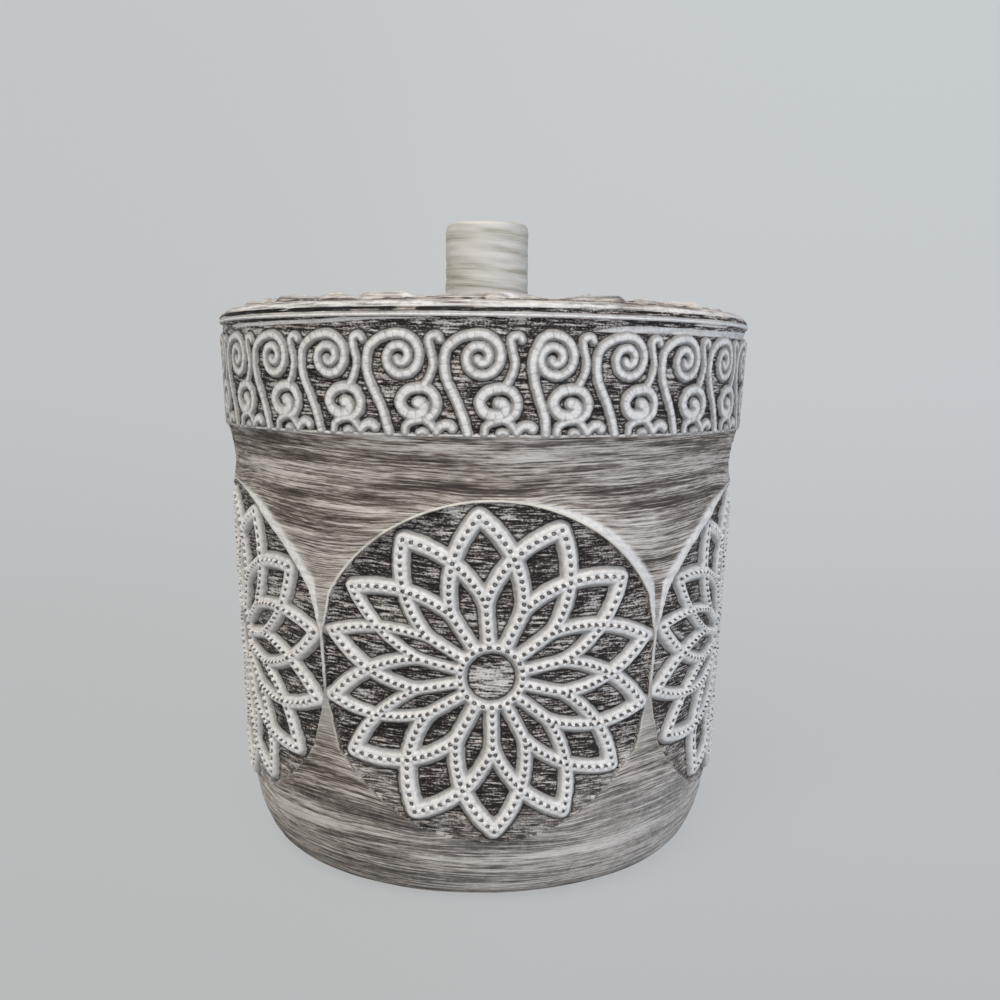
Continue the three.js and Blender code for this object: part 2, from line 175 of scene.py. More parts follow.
# Pits of half a petal, as reach and angle from its axis: down its own arc from the tip to the crossing,
# on along the neighbour's arc to the spoke, and down the spoke to the hub, in even steps.
def halfPetalPits(length, size, pitchWanted):
    centre, radius = petalCircle(length)
    root = length * flower["spokeReach"]
    start = np.arctan2(length - centre[1], -centre[0])
    end = np.arctan2(root * np.cos(petalPitch) - centre[1], root * np.sin(petalPitch) - centre[0])
    share = np.linspace(0, 1, 400)
    fine = start + (end - start) * share
    turns = np.arctan2(centre[0] + radius * np.cos(fine), centre[1] + radius * np.sin(fine))
    crossing = share[np.argmin(np.abs(turns - petalPitch / 2))]
    total = radius * abs(end - start)
    upper = np.linspace(0, crossing, int(round(total * crossing / pitchWanted)) + 1)
    lower = np.linspace(crossing, 1, int(round(total * (1 - crossing) / pitchWanted)) + 1)[1:]
    angle = start + (end - start) * np.concatenate([upper, lower])
    x, y = centre[0] + radius * np.cos(angle), centre[1] + radius * np.sin(angle)
    reach, turn = np.hypot(x, y), np.arctan2(x, y)
    turn = np.where(turn > petalPitch / 2 + 0.002, petalPitch - turn, turn)
    hub = (flower["hubInner"] + flower["hubOuter"]) / 2 * size
    steps = max(1, int(round((root - hub) / pitchWanted)))
    spoke = np.linspace(root, hub, steps + 1)[1:]
    return np.concatenate([reach, spoke]), np.concatenate([np.abs(turn), 0 * spoke])


# Distance inside the nearest rib's edge, and distance to the nearest pit. The point is turned to the
# regular flower and folded into half a petal, where one arc is the petal's own and one its neighbour's.
def flowerField(x, y, length, size, drift, pearlPitch):
    real, regular = driftKnots(drift)
    turn = np.mod(np.arctan2(x, y) - real[0], 2 * np.pi) + real[0]
    straight = np.interp(turn, real, regular)
    folded = np.abs(straight - petalPitch * np.round(straight / petalPitch))
    reach = np.hypot(x, y)
    px, py = reach * np.sin(folded), reach * np.cos(folded)
    centre, radius = petalCircle(length)
    nextCentre = (-centre[0] * np.cos(petalPitch) + centre[1] * np.sin(petalPitch),
                  centre[0] * np.sin(petalPitch) + centre[1] * np.cos(petalPitch))
    root = length * flower["spokeReach"]
    # An arc ends on the axis, and past it the distance is that to its end
    arcDistances = []
    for middle, end in ((centre, length), (nextCentre, root)):
        away = np.hypot(px - middle[0], py - middle[1])
        footX = middle[0] + (px - middle[0]) * radius / np.maximum(away, 1e-6)
        arcDistances.append(np.where(footX >= 0, np.abs(away - radius), np.hypot(px, py - end)))
    spoke = np.where(py < root, px, np.hypot(px, py - root))
    share = np.clip((reach - root) / (length - root), 0, 1)
    half = (flower["spokeHalf"] + (flower["tipHalf"] - flower["spokeHalf"]) * share) * size
    hubInner, hubOuter = flower["hubInner"] * size, flower["hubOuter"] * size
    hubMiddle, fillet = (hubInner + hubOuter) / 2, flower["fillet"] * size
    beyondHub = reach > hubMiddle
    arcs = np.where(beyondHub & (py > root / 2), half - np.minimum(*arcDistances), farOutside)
    spokes = np.where(beyondHub, flower["spokeHalf"] * size - spoke, farOutside)
    hub = np.minimum(hubOuter - reach, reach - hubInner)
    inside = smoothMax(smoothMax(arcs, spokes, fillet), hub, fillet)
    pitReach, pitTurn = halfPetalPits(length, size, pearlPitch)
    hubStep = 2 * np.pi / int(round(2 * np.pi * hubMiddle / pearlPitch))
    hubTurn = straight - hubStep * np.round(straight / hubStep)
    pit = np.hypot(reach * np.sin(hubTurn), reach * np.cos(hubTurn) - hubMiddle)
    for r, a in zip(pitReach, pitTurn):
        if r > hubMiddle + 0.5:
            pit = np.minimum(pit, np.hypot(px - r * np.sin(a), py - r * np.cos(a)))
    return inside, pit


# Places of all pearls of a flower, halfway between the pits, carried back from the regular petals to the
# real ones.
def pearlPlaces(length, size, drift, pearlPitch):
    reach, turn = halfPetalPits(length, size, pearlPitch)
    reach, turn = (reach[1:] + reach[:-1]) / 2, (turn[1:] + turn[:-1]) / 2
    hub = (flower["hubInner"] + flower["hubOuter"]) / 2 * size
    twice = (turn > 0.002) & (turn < petalPitch / 2 - 0.004)
    petal = np.concatenate([turn, -turn[twice]])
    turns = (petal[None, :] + petalPitch * np.arange(flower["petals"])[:, None]).ravel()
    reaches = np.tile(np.concatenate([reach, reach[twice]]), flower["petals"])
    hubCount = int(round(2 * np.pi * hub / pearlPitch))
    turns = np.concatenate([turns, (np.arange(hubCount) + 0.5) * 2 * np.pi / hubCount])
    reaches = np.concatenate([reaches, np.full(hubCount, hub)])
    real, regular = driftKnots(drift)
    turns = np.interp(np.mod(turns - regular[0], 2 * np.pi) + regular[0], regular, real)
    return reaches * np.sin(turns), reaches * np.cos(turns)


# The scroll carving round the rim
scroll = {
    "seamAngle": 10.5,
    "pitch": 14.45,
    "units": 25,
    "middle": 94.8,
    "spiralTop": 3.7,
    "spiralDrop": 0.475,
    "spiralQuarters": 6.6,
    "smallAt": (3.0, -7.2),
    "radius": 52.0,
    "unitReach": 11.0,           # mm to each side that one unit's lines can reach
    "farOff": -9.0,              # distance given where no line is near
    "halves": {"stem": (0.82, 0.82), "spiral": (0.82, 0.74), "small": (0.8, 1.0), "hook": (0.7, 0.68),
               "arch": (0.66, 0.68), "leaf": (0.7, 0.86), "foot": (0.56, 0.56)},
}
# Points in mm from the big spiral's middle, x to the right and y up
stemPoints = [(-2.0, -12.0), (-2.7, -9.6), (-3.7, -7.1), (-4.75, -5.0), (-5.5, -3.2), (-5.8, -1.1),
              (-5.45, 1.2), (-4.2, 2.5), (-2.7, 3.3), (-1.0, 3.65), (0, 3.7)]
seamStemPoints = [(-1.2, -12.0), (-1.35, -9.5), (-2.6, -5.9), (-3.5, -2.3), (-3.5, 0.2), (-2.4, 2.7),
                  (-1.2, 3.6), (0, 3.75)]
# Points in mm from the small spiral's middle
scrollPoints = {
    "small": [(1.25, -2.7), (2.5, -1.8), (3.0, -0.7), (3.0, 0.4), (2.3, 1.6), (1.2, 2.3), (0, 2.35),
              (-1.8, 1.9), (-3.0, 0.5), (-2.85, -0.7), (-2.0, -1.65), (-0.5, -2.0), (0.75, -1.55),
              (1.05, -0.75), (0.6, -0.15), (-0.05, 0.0)],
    "hook": [(3.6, 10.0), (3.3, 10.55), (2.7, 10.7), (2.0, 10.4), (1.8, 9.6), (2.1, 8.2), (2.5, 6.4),
             (2.1, 4.6), (1.25, 3.0), (0.5, 2.5)],
    "arch": [(-2.3, -4.8), (-2.0, -3.6), (-0.7, -2.9), (0.9, -2.7), (2.0, -3.4), (3.0, -4.6)],
    "leaf": [(3.0, -4.6), (3.7, -3.8), (4.5, -3.5), (5.2, -3.6), (5.6, -4.0)],
    "foot": [(0.1, -4.75), (0.7, -4.55), (1.3, -4.75)],
}


# Catmull-Rom curve through the points: the cubic blend of each four neighbours.
def throughPoints(points, steps):
    p = np.array(points, float)
    p = np.concatenate([2 * p[:1] - p[1:2], p, 2 * p[-1:] - p[-2:-1]])
    t = np.linspace(0, 1, steps, endpoint=False)[None, :, None]
    a, b, c, d = (p[k:len(p) - 3 + k][:, None, :] for k in range(4))
    curve = 0.5 * (2 * b + (c - a) * t + (2 * a - 5 * b + 4 * c - d) * t ** 2
                   + (3 * b - a - 3 * c + d) * t ** 3)
    return np.concatenate([curve.reshape(-1, 2), p[-2:-1]])


# All lines of one unit: polylines in mm from the big spiral's middle, with their half widths at both ends.
def scrollCurves(stem):
    quarter = np.linspace(0, scroll["spiralQuarters"], 90)
    radius = scroll["spiralTop"] - scroll["spiralDrop"] * quarter
    turn = quarter * np.pi / 2
    spiral = np.stack([radius * np.sin(turn), radius * np.cos(turn)], 1)
    small = np.array(scroll["smallAt"])
    shapes = {"stem": throughPoints(stem, 5), "spiral": spiral}
    for label, points in scrollPoints.items():
        shapes[label] = throughPoints(points, 5) + small
    return [(shapes[label], scroll["halves"][label]) for label in shapes]


# Distance inside the edge of the nearest line and the length run along it, over all pieces at once.
def insideCurves(x, y, curves):
    best, run = np.full(x.shape, scroll["farOff"]), np.zeros(x.shape)
    for curve, (halfStart, halfEnd) in curves:
        starts, steps = curve[:-1], np.diff(curve, axis=0)
        lengths = np.hypot(steps[:, 0], steps[:, 1])
        before = np.concatenate([[0], np.cumsum(lengths)[:-1]])
        dx, dy = x[:, None] - starts[:, 0], y[:, None] - starts[:, 1]
        share = np.clip((dx * steps[:, 0] + dy * steps[:, 1]) / np.maximum(lengths, 1e-9) ** 2, 0, 1)
        apart = np.hypot(dx - share * steps[:, 0], dy - share * steps[:, 1])
        pick = apart.argmin(1)
        rows = np.arange(len(x))
        along = before[pick] + share[rows, pick] * lengths[pick]
        inside = halfStart + (halfEnd - halfStart) * along / lengths.sum() - apart[rows, pick]
        run = np.where(inside > best, along, run)
        best = np.maximum(best, inside)
    return best, run


# Distance inside the scroll ribs and the run along them, unit by unit round the rim.
def scrollField(angle, height):
    best, run = np.full(angle.shape, scroll["farOff"]), np.zeros(angle.shape)
    columns = angle[0]
    for unit in range(scroll["units"]):
        middle = math.radians(scroll["seamAngle"] + scroll["pitch"] * unit)
        offset = wrapped(columns - middle) * scroll["radius"]
        near = np.abs(offset) < scroll["unitReach"]
        if not near.any():
            continue
        x = np.broadcast_to(offset[near], (angle.shape[0], near.sum()))
        y = height[:, near] - scroll["middle"]
        curves = scrollCurves(seamStemPoints if unit == 0 else stemPoints)
        inside, along = (part.reshape(x.shape) for part in insideCurves(x.ravel(), y.ravel(), curves))
        run[:, near] = np.where(inside > best[:, near], along, run[:, near])
        best[:, near] = np.maximum(best[:, near], inside)
    return best, run


# Radius of the straight wall: an ellipse at the foot, an even taper above it.
def fieldBaseRadius(height):
    cornerTop = jar["standHeight"] + jar["cornerHeight"]
    taper = (jar["wallTopRadius"] - jar["wallFootRadius"]) / (jar["wallTopHeight"] - cornerTop)
    drop = np.clip((cornerTop - height) / jar["cornerHeight"], 0, 1)
    corner = jar["underRadius"] + jar["cornerRun"] * np.sqrt(1 - drop ** 2)
    return np.where(height >= cornerTop, jar["wallFootRadius"] + taper * (height - cornerTop), corner)


# Radius of the finished wall: the taper, then a parabola for the cove under the rim band.
def skinRadius(height):
    share = np.clip((height - jar["wallTopHeight"]) / (jar["coveTopHeight"] - jar["wallTopHeight"]), 0, 1)
    control = 2 * jar["waistRadius"] - (jar["wallTopRadius"] + jar["coveTopRadius"]) / 2
    cove = ((1 - share) ** 2 * jar["wallTopRadius"] + 2 * share * (1 - share) * control
            + share ** 2 * jar["coveTopRadius"])
    return np.where(height > jar["wallTopHeight"], cove, fieldBaseRadius(height))


# Radius of a medallion's field, sunk more and more from its foot to its top.
def fieldRadius(height):
    rise = height - (disc["height"] - disc["radius"])
    return fieldBaseRadius(height) - disc["sink"] * rise / (2 * disc["radius"])


# One fifth of the jar
panel = {
    "columns": 230,
    "underRows": [8.0, 17.0, 25.0],
    "pocketRows": 22,
    "pocketReach": 6.2,
    "cornerRows": 24,
    "floorRows": [24.0, 15.0, 7.0],
    "wallFoot": 12.0,
    "wallPitch": 0.262,
    "covePitch": 0.42,
    "bandPitch": 0.245,
    "stepWidth": 0.55,
    "ridgeHalf": 0.32,
    "ridgeSpread": 0.27,
    "wander": 1.0,
    "sway": 0.5,
    "bend": 2.2,
    "bendReach": 3.2,
    "lipSwell": 0.55,
    "lipReach": 2.4,
    "foldSwell": 0.9,
    "fineGrain": 0.045,
    "fieldGrain": 0.12,
    "ornamentTop": (51.5, 52.45),
    "bandField": (50.95, 51.75),
    "rimEdge": 0.68,
    "creasePitch": 1.3,
    "lobe": 0.2,
}


# Rows of an arc of an ellipse about a centre: its points and their directions, turned inwards by side -1.
def arcRows(centre, size, turns, side=1):
    return [(centre[0] + size[0] * math.cos(t), centre[1] + size[1] * math.sin(t),
             side * math.cos(t), side * math.sin(t)) for t in turns]


# The jar's profile from the middle of its underside round to the middle of its inside floor, as radius,
# height and the direction in which relief pushes it.
def outlineRows():
    stand, seat, floor = jar["standHeight"], jar["seatHeight"], jar["floorHeight"]
    pockets = np.linspace(jar["padCircle"] - panel["pocketReach"], jar["padCircle"] + panel["pocketReach"],
                          panel["pocketRows"])
    rows = [(r, stand, 0, -1) for r in (0, *panel["underRows"], *pockets)]
    cornerTop = stand + jar["cornerHeight"]
    last = math.asin((panel["wallFoot"] - cornerTop) / jar["cornerHeight"])
    for t in np.linspace(-math.pi / 2, last, panel["cornerRows"], endpoint=False):
        nr, nz = math.cos(t) / jar["cornerRun"], math.sin(t) / jar["cornerHeight"]
        size = math.hypot(nr, nz)
        rows.append((jar["underRadius"] + jar["cornerRun"] * math.cos(t),
                     cornerTop + jar["cornerHeight"] * math.sin(t), nr / size, nz / size))
    discTop, coveTop = disc["height"] + disc["radius"] + 1, jar["coveTopHeight"]
    rimStart = seat - jar["rimRounding"]
    for low, high, pitch in ((panel["wallFoot"], discTop, panel["wallPitch"]),
                             (discTop, coveTop, panel["covePitch"]), (coveTop, rimStart, panel["bandPitch"])):
        heights = np.linspace(low, high, int(round((high - low) / pitch)), endpoint=False)
        rows += [(float(skinRadius(z)), z, 1, 0) for z in heights]
    rim, inner = jar["rimRadius"] - jar["rimRounding"], jar["mouthRadius"] + jar["mouthRounding"]
    rows += arcRows((rim, rimStart), [jar["rimRounding"]] * 2, np.linspace(0, math.pi / 2, 5))
    rows += [(r, seat, 0, 1) for r in np.linspace(rim, inner, 7)[1:-1]]
    rows += arcRows((inner, seat - jar["mouthRounding"]), [jar["mouthRounding"]] * 2,
                    np.linspace(math.pi / 2, math.pi, 5))
    rows += [(jar["mouthRadius"], z, -1, 0) for z in np.linspace(seat - 2, jar["mouthFoot"], 5)]
    corner = (jar["cavityFootRadius"] - jar["cavityCorner"], floor + jar["cavityCorner"])
    taper = np.linspace((jar["mouthRadius"], jar["mouthFoot"]), (jar["cavityFootRadius"], corner[1]), 9)
    rows += [(r, z, -1, 0) for r, z in taper[1:]]
    rows += arcRows(corner, [jar["cavityCorner"]] * 2, np.linspace(0, -math.pi / 2, 9)[1:], -1)
    rows += [(r, floor, 0, 1) for r in (*panel["floorRows"], 0)]
    return np.array(rows)


# How far the grain is carried up or down from the level: slow waves, so that streaks bend as in wood.
def grainDrift(angle, height):
    return panel["wander"] * readMap("wander", angle, height) + panel["sway"] * np.sin(angle * 3 + 1)


# How the wall's grain bends, how its paint is rubbed and where light is painted into it, judged from the
# front
wallLook = {
    "meetingShift": 0.81,        # how far the bend's centre follows the ridge
    "meetingRounding": 2.5,
    "ridgeStart": 5.5,           # mm above and below the circles' middle, where the ridge widens
    "ridgeMost": 9.0,
    "foldHalf": (1.2, 0.42),     # mm at the top, and what each mm further down adds
    # lipWashAndHighlight: wash rubbed on the lips, with painted highlight on the rubbed side
    "lipWashAndHighlight": (0.5, 0.85),      # share everywhere, and what the rubbed side has more
    "lipWashReach": (0.5, 1.1),  # mm, in the same way
    "ridgeWash": 0.55,
    "stainLostBelow": 0.38,
    "wornGrey": 0.7,
    # lit: how light the stain is painted; its sides share is painted light towards the jar's sides
    "lit": {"all": 0.5, "hub": 0.45, "grain": 0.06, "below": 0.25, "edge": 0.1, "sides": 0.06},
}


# Relief and paint of the outer wall: skin, circles cut into it, flower, lips, folds and grain. The paint
# is given as distances inside the ribs and the stained field, and shares of stain and wash.
def dressWall(angle, local, height, radius):
    skin, field = skinRadius(height), fieldRadius(height)
    x, y = field * np.sin(local), height - disc["height"]
    reach, turn = np.hypot(x, y), np.degrees(wrapped(angle))
    fromRidge = (np.pi / disc["count"] - np.abs(local)) * field
    # Beside a circle the grain bends away from the point where two circles meet, rounded over the ridge
    rounding = wallLook["meetingRounding"]
    shift = wallLook["meetingShift"] * (fromRidge + rounding - np.hypot(fromRidge, rounding))
    around = np.hypot(np.abs(x) + shift, y)
    bend = (panel["bend"] * np.exp(-np.maximum(around - disc["radius"], 0) / panel["bendReach"])
            * smooth(4, 16, np.abs(x)) * (1 - 2 * smooth(-7, 7, y)))
    slanted = height + grainDrift(angle, height) + bend
    fine, chatter = readMap("fine", angle, slanted), readMap("chatter", angle, height)
    ridge = panel["ridgeHalf"] + panel["ridgeSpread"] * np.clip(
        np.abs(y) - wallLook["ridgeStart"], 0, wallLook["ridgeMost"])
    edge = np.minimum(disc["radius"] - reach, fromRidge - ridge)
    inside = smooth(-0.06, panel["stepWidth"], edge)
    outward = np.maximum(-edge, 0)
    lip = panel["lipSwell"] * np.exp(-(outward / panel["lipReach"]) ** 1.5) * smooth(-16, 8, y)
    foldHalf = wallLook["foldHalf"][0] + wallLook["foldHalf"][1] * np.maximum(-9 - y, 0)
    fold = (panel["foldSwell"] * np.exp(-(fromRidge / foldHalf) ** 2)
            * smooth(-8, -13, y) * (1 - smooth(-18, -34, y)))
    outer = skin + lip + fold * (1 - inside) + panel["fineGrain"] * fine
    ribInside, pit = flowerField(x, y, *wallFlower)
    rib = smooth(-0.15, 0.62, ribInside)
    lobes = panel["lobe"] * smooth(0.2, 0.62, pit) * smooth(0.1, 0.5, ribInside)
    rough = panel["fieldGrain"] * (0.6 * chatter + 0.6 * fine) * (1 - rib)
    inner = field + (flower["ribHeight"] - panel["lobe"]) * rib + lobes + rough
    wall = outer * (1 - inside) + inner * inside
    # The lips are rubbed with wash, and more widely and brightly on their upper parts as painted highlight,
    # except on the left of the front circle
    rubbedAndLitSide = (smooth(0, 20, np.where(np.abs(turn) < 180 / disc["count"], x, np.abs(x)))
                  * smooth(-16, -2, y) * smooth(0, 1.2, fromRidge))
    share, width = (wallLook[name][0] + wallLook[name][1] * rubbedAndLitSide
                    for name in ("lipWashAndHighlight", "lipWashReach"))
    lipWashAndHighlight = share * np.exp(-(outward / width) ** 2) * smooth(-3, 7, y)
    lipWashAndHighlight = lipWashAndHighlight * smooth(5, 9, np.abs(y) + 0.3 * np.abs(y - 8))
    ridgeWash = wallLook["ridgeWash"] * smooth(0.9, 0.1, fromRidge) * smooth(8, 4, np.abs(y - 2))
    # Thin bright line just outside a circle's edge, mostly along its upper part: rubbed wash and painted
    # highlight
    lipLineWashAndHighlight = (smooth(4, 8, y) + 0.35 * smooth(-5, -8, y) * smooth(-22, -11, y)) * (
        0.8 + 0.3 * readMap("middle", angle, height).clip(-1, 1))
    # Wood worn smooth and grey at the tips of the spandrels and of the cones under them
    worn = smooth(15, 7, y) * (y > 0) + 0.9 * smooth(-20, -8, y) * (y < 0)
    worn = np.maximum(worn, 0.75 * smooth(8, 16, x) * smooth(-27, -33, y))
    # The stain is painted lighter in the middle of the hub, in the lower field and near the circle's upper
    # edge, with a random share along the broad grain, and lighter towards the jar's sides as painted light
    below = smooth(-12, -22, y) * smooth(23, 27, reach)
    lit = wallLook["lit"]
    lit = (lit["all"] + lit["hub"] * smooth(6.0, 1.6, np.hypot(x, 1.5 * y + 0.6))
           + lit["grain"] * readMap("broad", angle, height) + lit["below"] * below
           + lit["edge"] * smooth(26, 29.5, reach) * smooth(4, 18, y)
           + lit["sides"] * smooth(33, 60, np.abs(turn)))
    return wall - radius, {
        "ribInside": np.minimum(ribInside, 4 * edge + 0.3), "fieldInside": edge, "pit": pit, "lip": lipLineWashAndHighlight,
        "tone": wallLook["wornGrey"] * worn * (edge < 0.1), "stain": 1 - wallLook["stainLostBelow"] * below,
        "wash": np.maximum(lipWashAndHighlight, ridgeWash), "worn": worn, "lit": lit,
        "drift": bend * (edge < 0.1) * millimetre}


# How the band is roughened and rubbed
bandLook = {
    # Degrees between which the band's upper edge is rubbed white: it begins, is full, is full, ends
    "rubbedEdge": ((-70, -60, -22, -2), (38, 44, 50, 60)),
    "rubbedDrop": (0.48, 0.38),  # mm below the edge at the front's left, and what the right has less
    "rubbedHalf": (0.42, 0.2),
    "roughness": 0.12,
    "facetRise": 0.07,
    "ribRounding": 0.05,
    "edgeInset": 0.02,
    "streakHeight": (98.7, 99.4),
    "lit": (0.62, 0.07),         # share everywhere and of the grain
}


# Relief and paint of the rim band: flat, faceted scroll ribs on a rough field under a plain edge.
def dressBand(angle, readAngle, height, radius):
    low, high = jar["bandFootHeight"], jar["seatHeight"] - panel["rimEdge"]
    share = (height - low) / (high - low)
    ornament, field = (panel[name][0] + (panel[name][1] - panel[name][0]) * share
                       for name in ("ornamentTop", "bandField"))
    fine, chatter = readMap("fine", readAngle, height), readMap("chatter", readAngle, height)
    ribInside, run = scrollField(angle, height)
    run = run + 0.35 * readMap("wander", 7 * angle, 3 * height)
    rib = smooth(-0.24, 0.2, ribInside)
    edge, foot = smooth(high, high + 0.28, height), smooth(low + 0.55, low + 0.05, height)
    turn = np.degrees(wrapped(angle))
    rightwards = smooth(-36, -18, turn) * smooth(150, 90, turn)
    rubbed = sum(smooth(begins, full, turn) * smooth(ends, stillFull, turn)
                 for begins, full, stillFull, ends in bandLook["rubbedEdge"])
    rubbed = rubbed + smooth(110, 130, np.abs(turn)) * smooth(-0.3, 0.6, readMap("broad", angle, height))
    drop, half = (bandLook[name][0] - bandLook[name][1] * rightwards for name in ("rubbedDrop", "rubbedHalf"))
    drop = drop + 0.1 * readMap("middle", angle, 5 + 0 * height)
    rubbed = rubbed * np.exp(-((height - high + drop) / half) ** 2)
    step = np.mod(run, panel["creasePitch"]) / panel["creasePitch"]
    wall = field + bandLook["roughness"] * (0.6 * chatter + 0.6 * fine)
    top = (ornament - bandLook["ribRounding"] * smooth(0.4, 0.05, ribInside)
           + bandLook["facetRise"] * (step - 0.5))
    wall = wall * (1 - rib) + top * rib
    wall = wall * (1 - edge) + (jar["rimRadius"] - bandLook["edgeInset"]) * edge
    footRadius = skinRadius(height) + (jar["bandFootRadius"] - jar["coveTopRadius"]) * smooth(
        jar["coveTopHeight"], low, height)
    wall = wall * (1 - foot) + np.maximum(footRadius, wall * rib) * foot
    streak = smooth(0.6, 1.2, readMap("middle", angle + 2, height))
    streak = streak * smooth(*bandLook["streakHeight"], height)
    wash = np.maximum(1.25 * edge, 0.6 * np.exp(-((height - low - 0.1) / 0.3) ** 2))
    fieldInside = np.minimum(np.minimum(height - low - 0.3, high + 0.22 - height),
                             0.5 - np.maximum(0.75 * streak, 0.9 * rubbed))
    return wall - radius, {
        "ribInside": ribInside - 0.1, "fieldInside": fieldInside, "stain": 0 * height + 1, "run": run,
        "wash": np.maximum(wash, np.maximum(0.6 * streak, 0.95 * rubbed)),
        "lit": bandLook["lit"][0] + bandLook["lit"][1] * readMap("middle", angle + 1, height)}


# Listed long streaks on the wall: angle, height, half length in degrees, half thickness, tone, tilt
longStreaks = [
    (0, 72.6, 34, 1.0, -1.4, 0.2), (-34, 70.8, 22, 1.3, -1.3, -0.5), (40, 70.0, 24, 1.5, -0.9, 0.6),
    (-12, 79.0, 40, 1.1, 0.8, 0.0), (26, 77.5, 26, 1.4, 0.7, 0.2), (-40, 76.0, 24, 1.2, 0.6, 0.0),
    (0, 75.0, 30, 0.7, 0.5, 0.0), (18, 80.6, 30, 0.5, -0.6, 0.0), (-30, 80.4, 26, 0.6, -0.7, 0.0),
    (-38, 66.5, 10, 1.4, -0.6, -0.4), (38, 63.5, 10, 2.2, 0.7, 0.4), (-6, 11.2, 30, 0.8, -1.1, 0.6),
    (26, 15.5, 16, 0.6, -0.8, 1.4), (-30, 15.8, 22, 1.2, -1.2, -1.0), (4, 8.4, 40, 1.5, 0.9, 0.3),
    (24, 11.5, 14, 2.4, 0.8, 0.6), (-34, 9.5, 18, 2.2, -0.5, -0.6), (36, 9.0, 24, 4.0, 0.8, 0.8),
    # The last streak, a dark line along the foot's bottom edge at the front, is painted shade where the jar
    # meets the floor
    (6, 4.9, 36, 0.7, -0.6, 0.4), (-26, 3.4, 24, 0.8, -0.5, -0.4), (0, 1.5, 60, 0.6, -1.3, 0.0),
]
toneShares = {"broad": 0.34, "middle": 0.38, "fine": 0.3}


# Light and dark of the wood figure: broad, middle and fine streaks, and the listed ones, the last of which is
# painted shade along the foot's bottom edge.
def toneOf(angle, height):
    wander = readMap("wander", angle, height)
    slanted = height + grainDrift(angle, height)
    tone = sum(share * readMap(name, angle, slanted) for name, share in toneShares.items())
    for middle, at, spread, thick, strength, tilt in longStreaks:
        turn = np.degrees(wrapped(angle - math.radians(middle)))
        level = height - at - tilt * turn / 20 - 0.4 * wander
        tone = tone + strength * np.exp(-(turn / spread) ** 4 - (level / thick) ** 2)
    return tone


# Mesh object from arrays: points in the unit named, face lists and a value per point for each attribute.
def meshPiece(name, points, faces, attributes, material, unit=millimetre):
    mesh = bpy.data.meshes.new(name)
    mesh.from_pydata((points * unit).tolist(), [], faces)
    for label, values in attributes.items():
        data = mesh.attributes.new(label, "FLOAT", "POINT").data
        data.foreach_set("value", values.ravel().astype(np.float32))
    mesh.polygons.foreach_set("use_smooth", np.ones(len(mesh.polygons), bool))
    mesh.materials.append(material)
    mesh.update()
    piece = bpy.data.objects.new(name, mesh)
    bpy.context.scene.collection.objects.link(piece)
    return piece


# Quads of a grid, row by row, running round when it is closed, wound so that they face outwards.
def gridFaces(rows, columns, closed):
    row = np.arange(rows - 1)[:, None] * columns
    left = np.arange(columns if closed else columns - 1)[None, :]
    right = (left + 1) % columns
    return np.stack([row + left, row + right, row + columns + right, row + columns + left], -1).reshape(-1, 4)


# Paint of bare wood figure: no rib, no stained field, no wash.
plainValues = {"ribInside": farOutside, "fieldInside": farOutside, "stain": 0, "wash": 0, "run": 0.5,
               "tone": 0, "pit": 9, "lip": 0, "drift": 0, "worn": 0, "lit": 0.5}


def plainPaint(shape):
    return {label: np.full(shape, float(value)) for label, value in plainValues.items()}


# Grids of a profile carried round the axis: every row's radius, height and push, at every angle.
def carried(rows, turns):
    angle = np.tile(turns, (len(rows), 1))
    return angle, *(rows[:, k][:, None] + 0 * angle for k in range(4))


# Points at a radius from the axis, an angle from the front and a height.
def pointsAt(radius, angle, height):
    return np.stack([radius * np.sin(angle), -radius * np.cos(angle), height], -1)


# Values of a carried profile row by row, with one value each for its first and last rows at the end.
def polesLast(values):
    return np.concatenate([values[1:-1].reshape(-1, *values.shape[2:]), values[[0, -1], 0]])


# Vertices and faces of a carried profile whose first and last rows are each one point.
def closedAtPoles(points, allRound):
    count, columns = len(points) - 2, points.shape[1]
    left = np.arange(columns if allRound else columns - 1)
    right, last = (left + 1) % columns, (count - 1) * columns
    pole = np.full(len(left), count * columns)
    faces = gridFaces(count, columns, allRound).tolist()
    faces += np.stack([pole, right, left], 1).tolist()
    faces += np.stack([last + left, last + right, pole + 1], 1).tolist()
    return polesLast(points), faces


# Wear and wash of the foot and the rim, and painted light on one side of the foot
jarLook = {
    "cornerWear": 0.3,           # mm by which the foot's edge is rounder than its plain curve
    "rimWash": 0.85,
    # footWashAndSideLight: wash all round, and the painted light that makes the right side lighter
    "footWashAndSideLight": (0.27, 0.11),    # share all round, and what one side has more
}


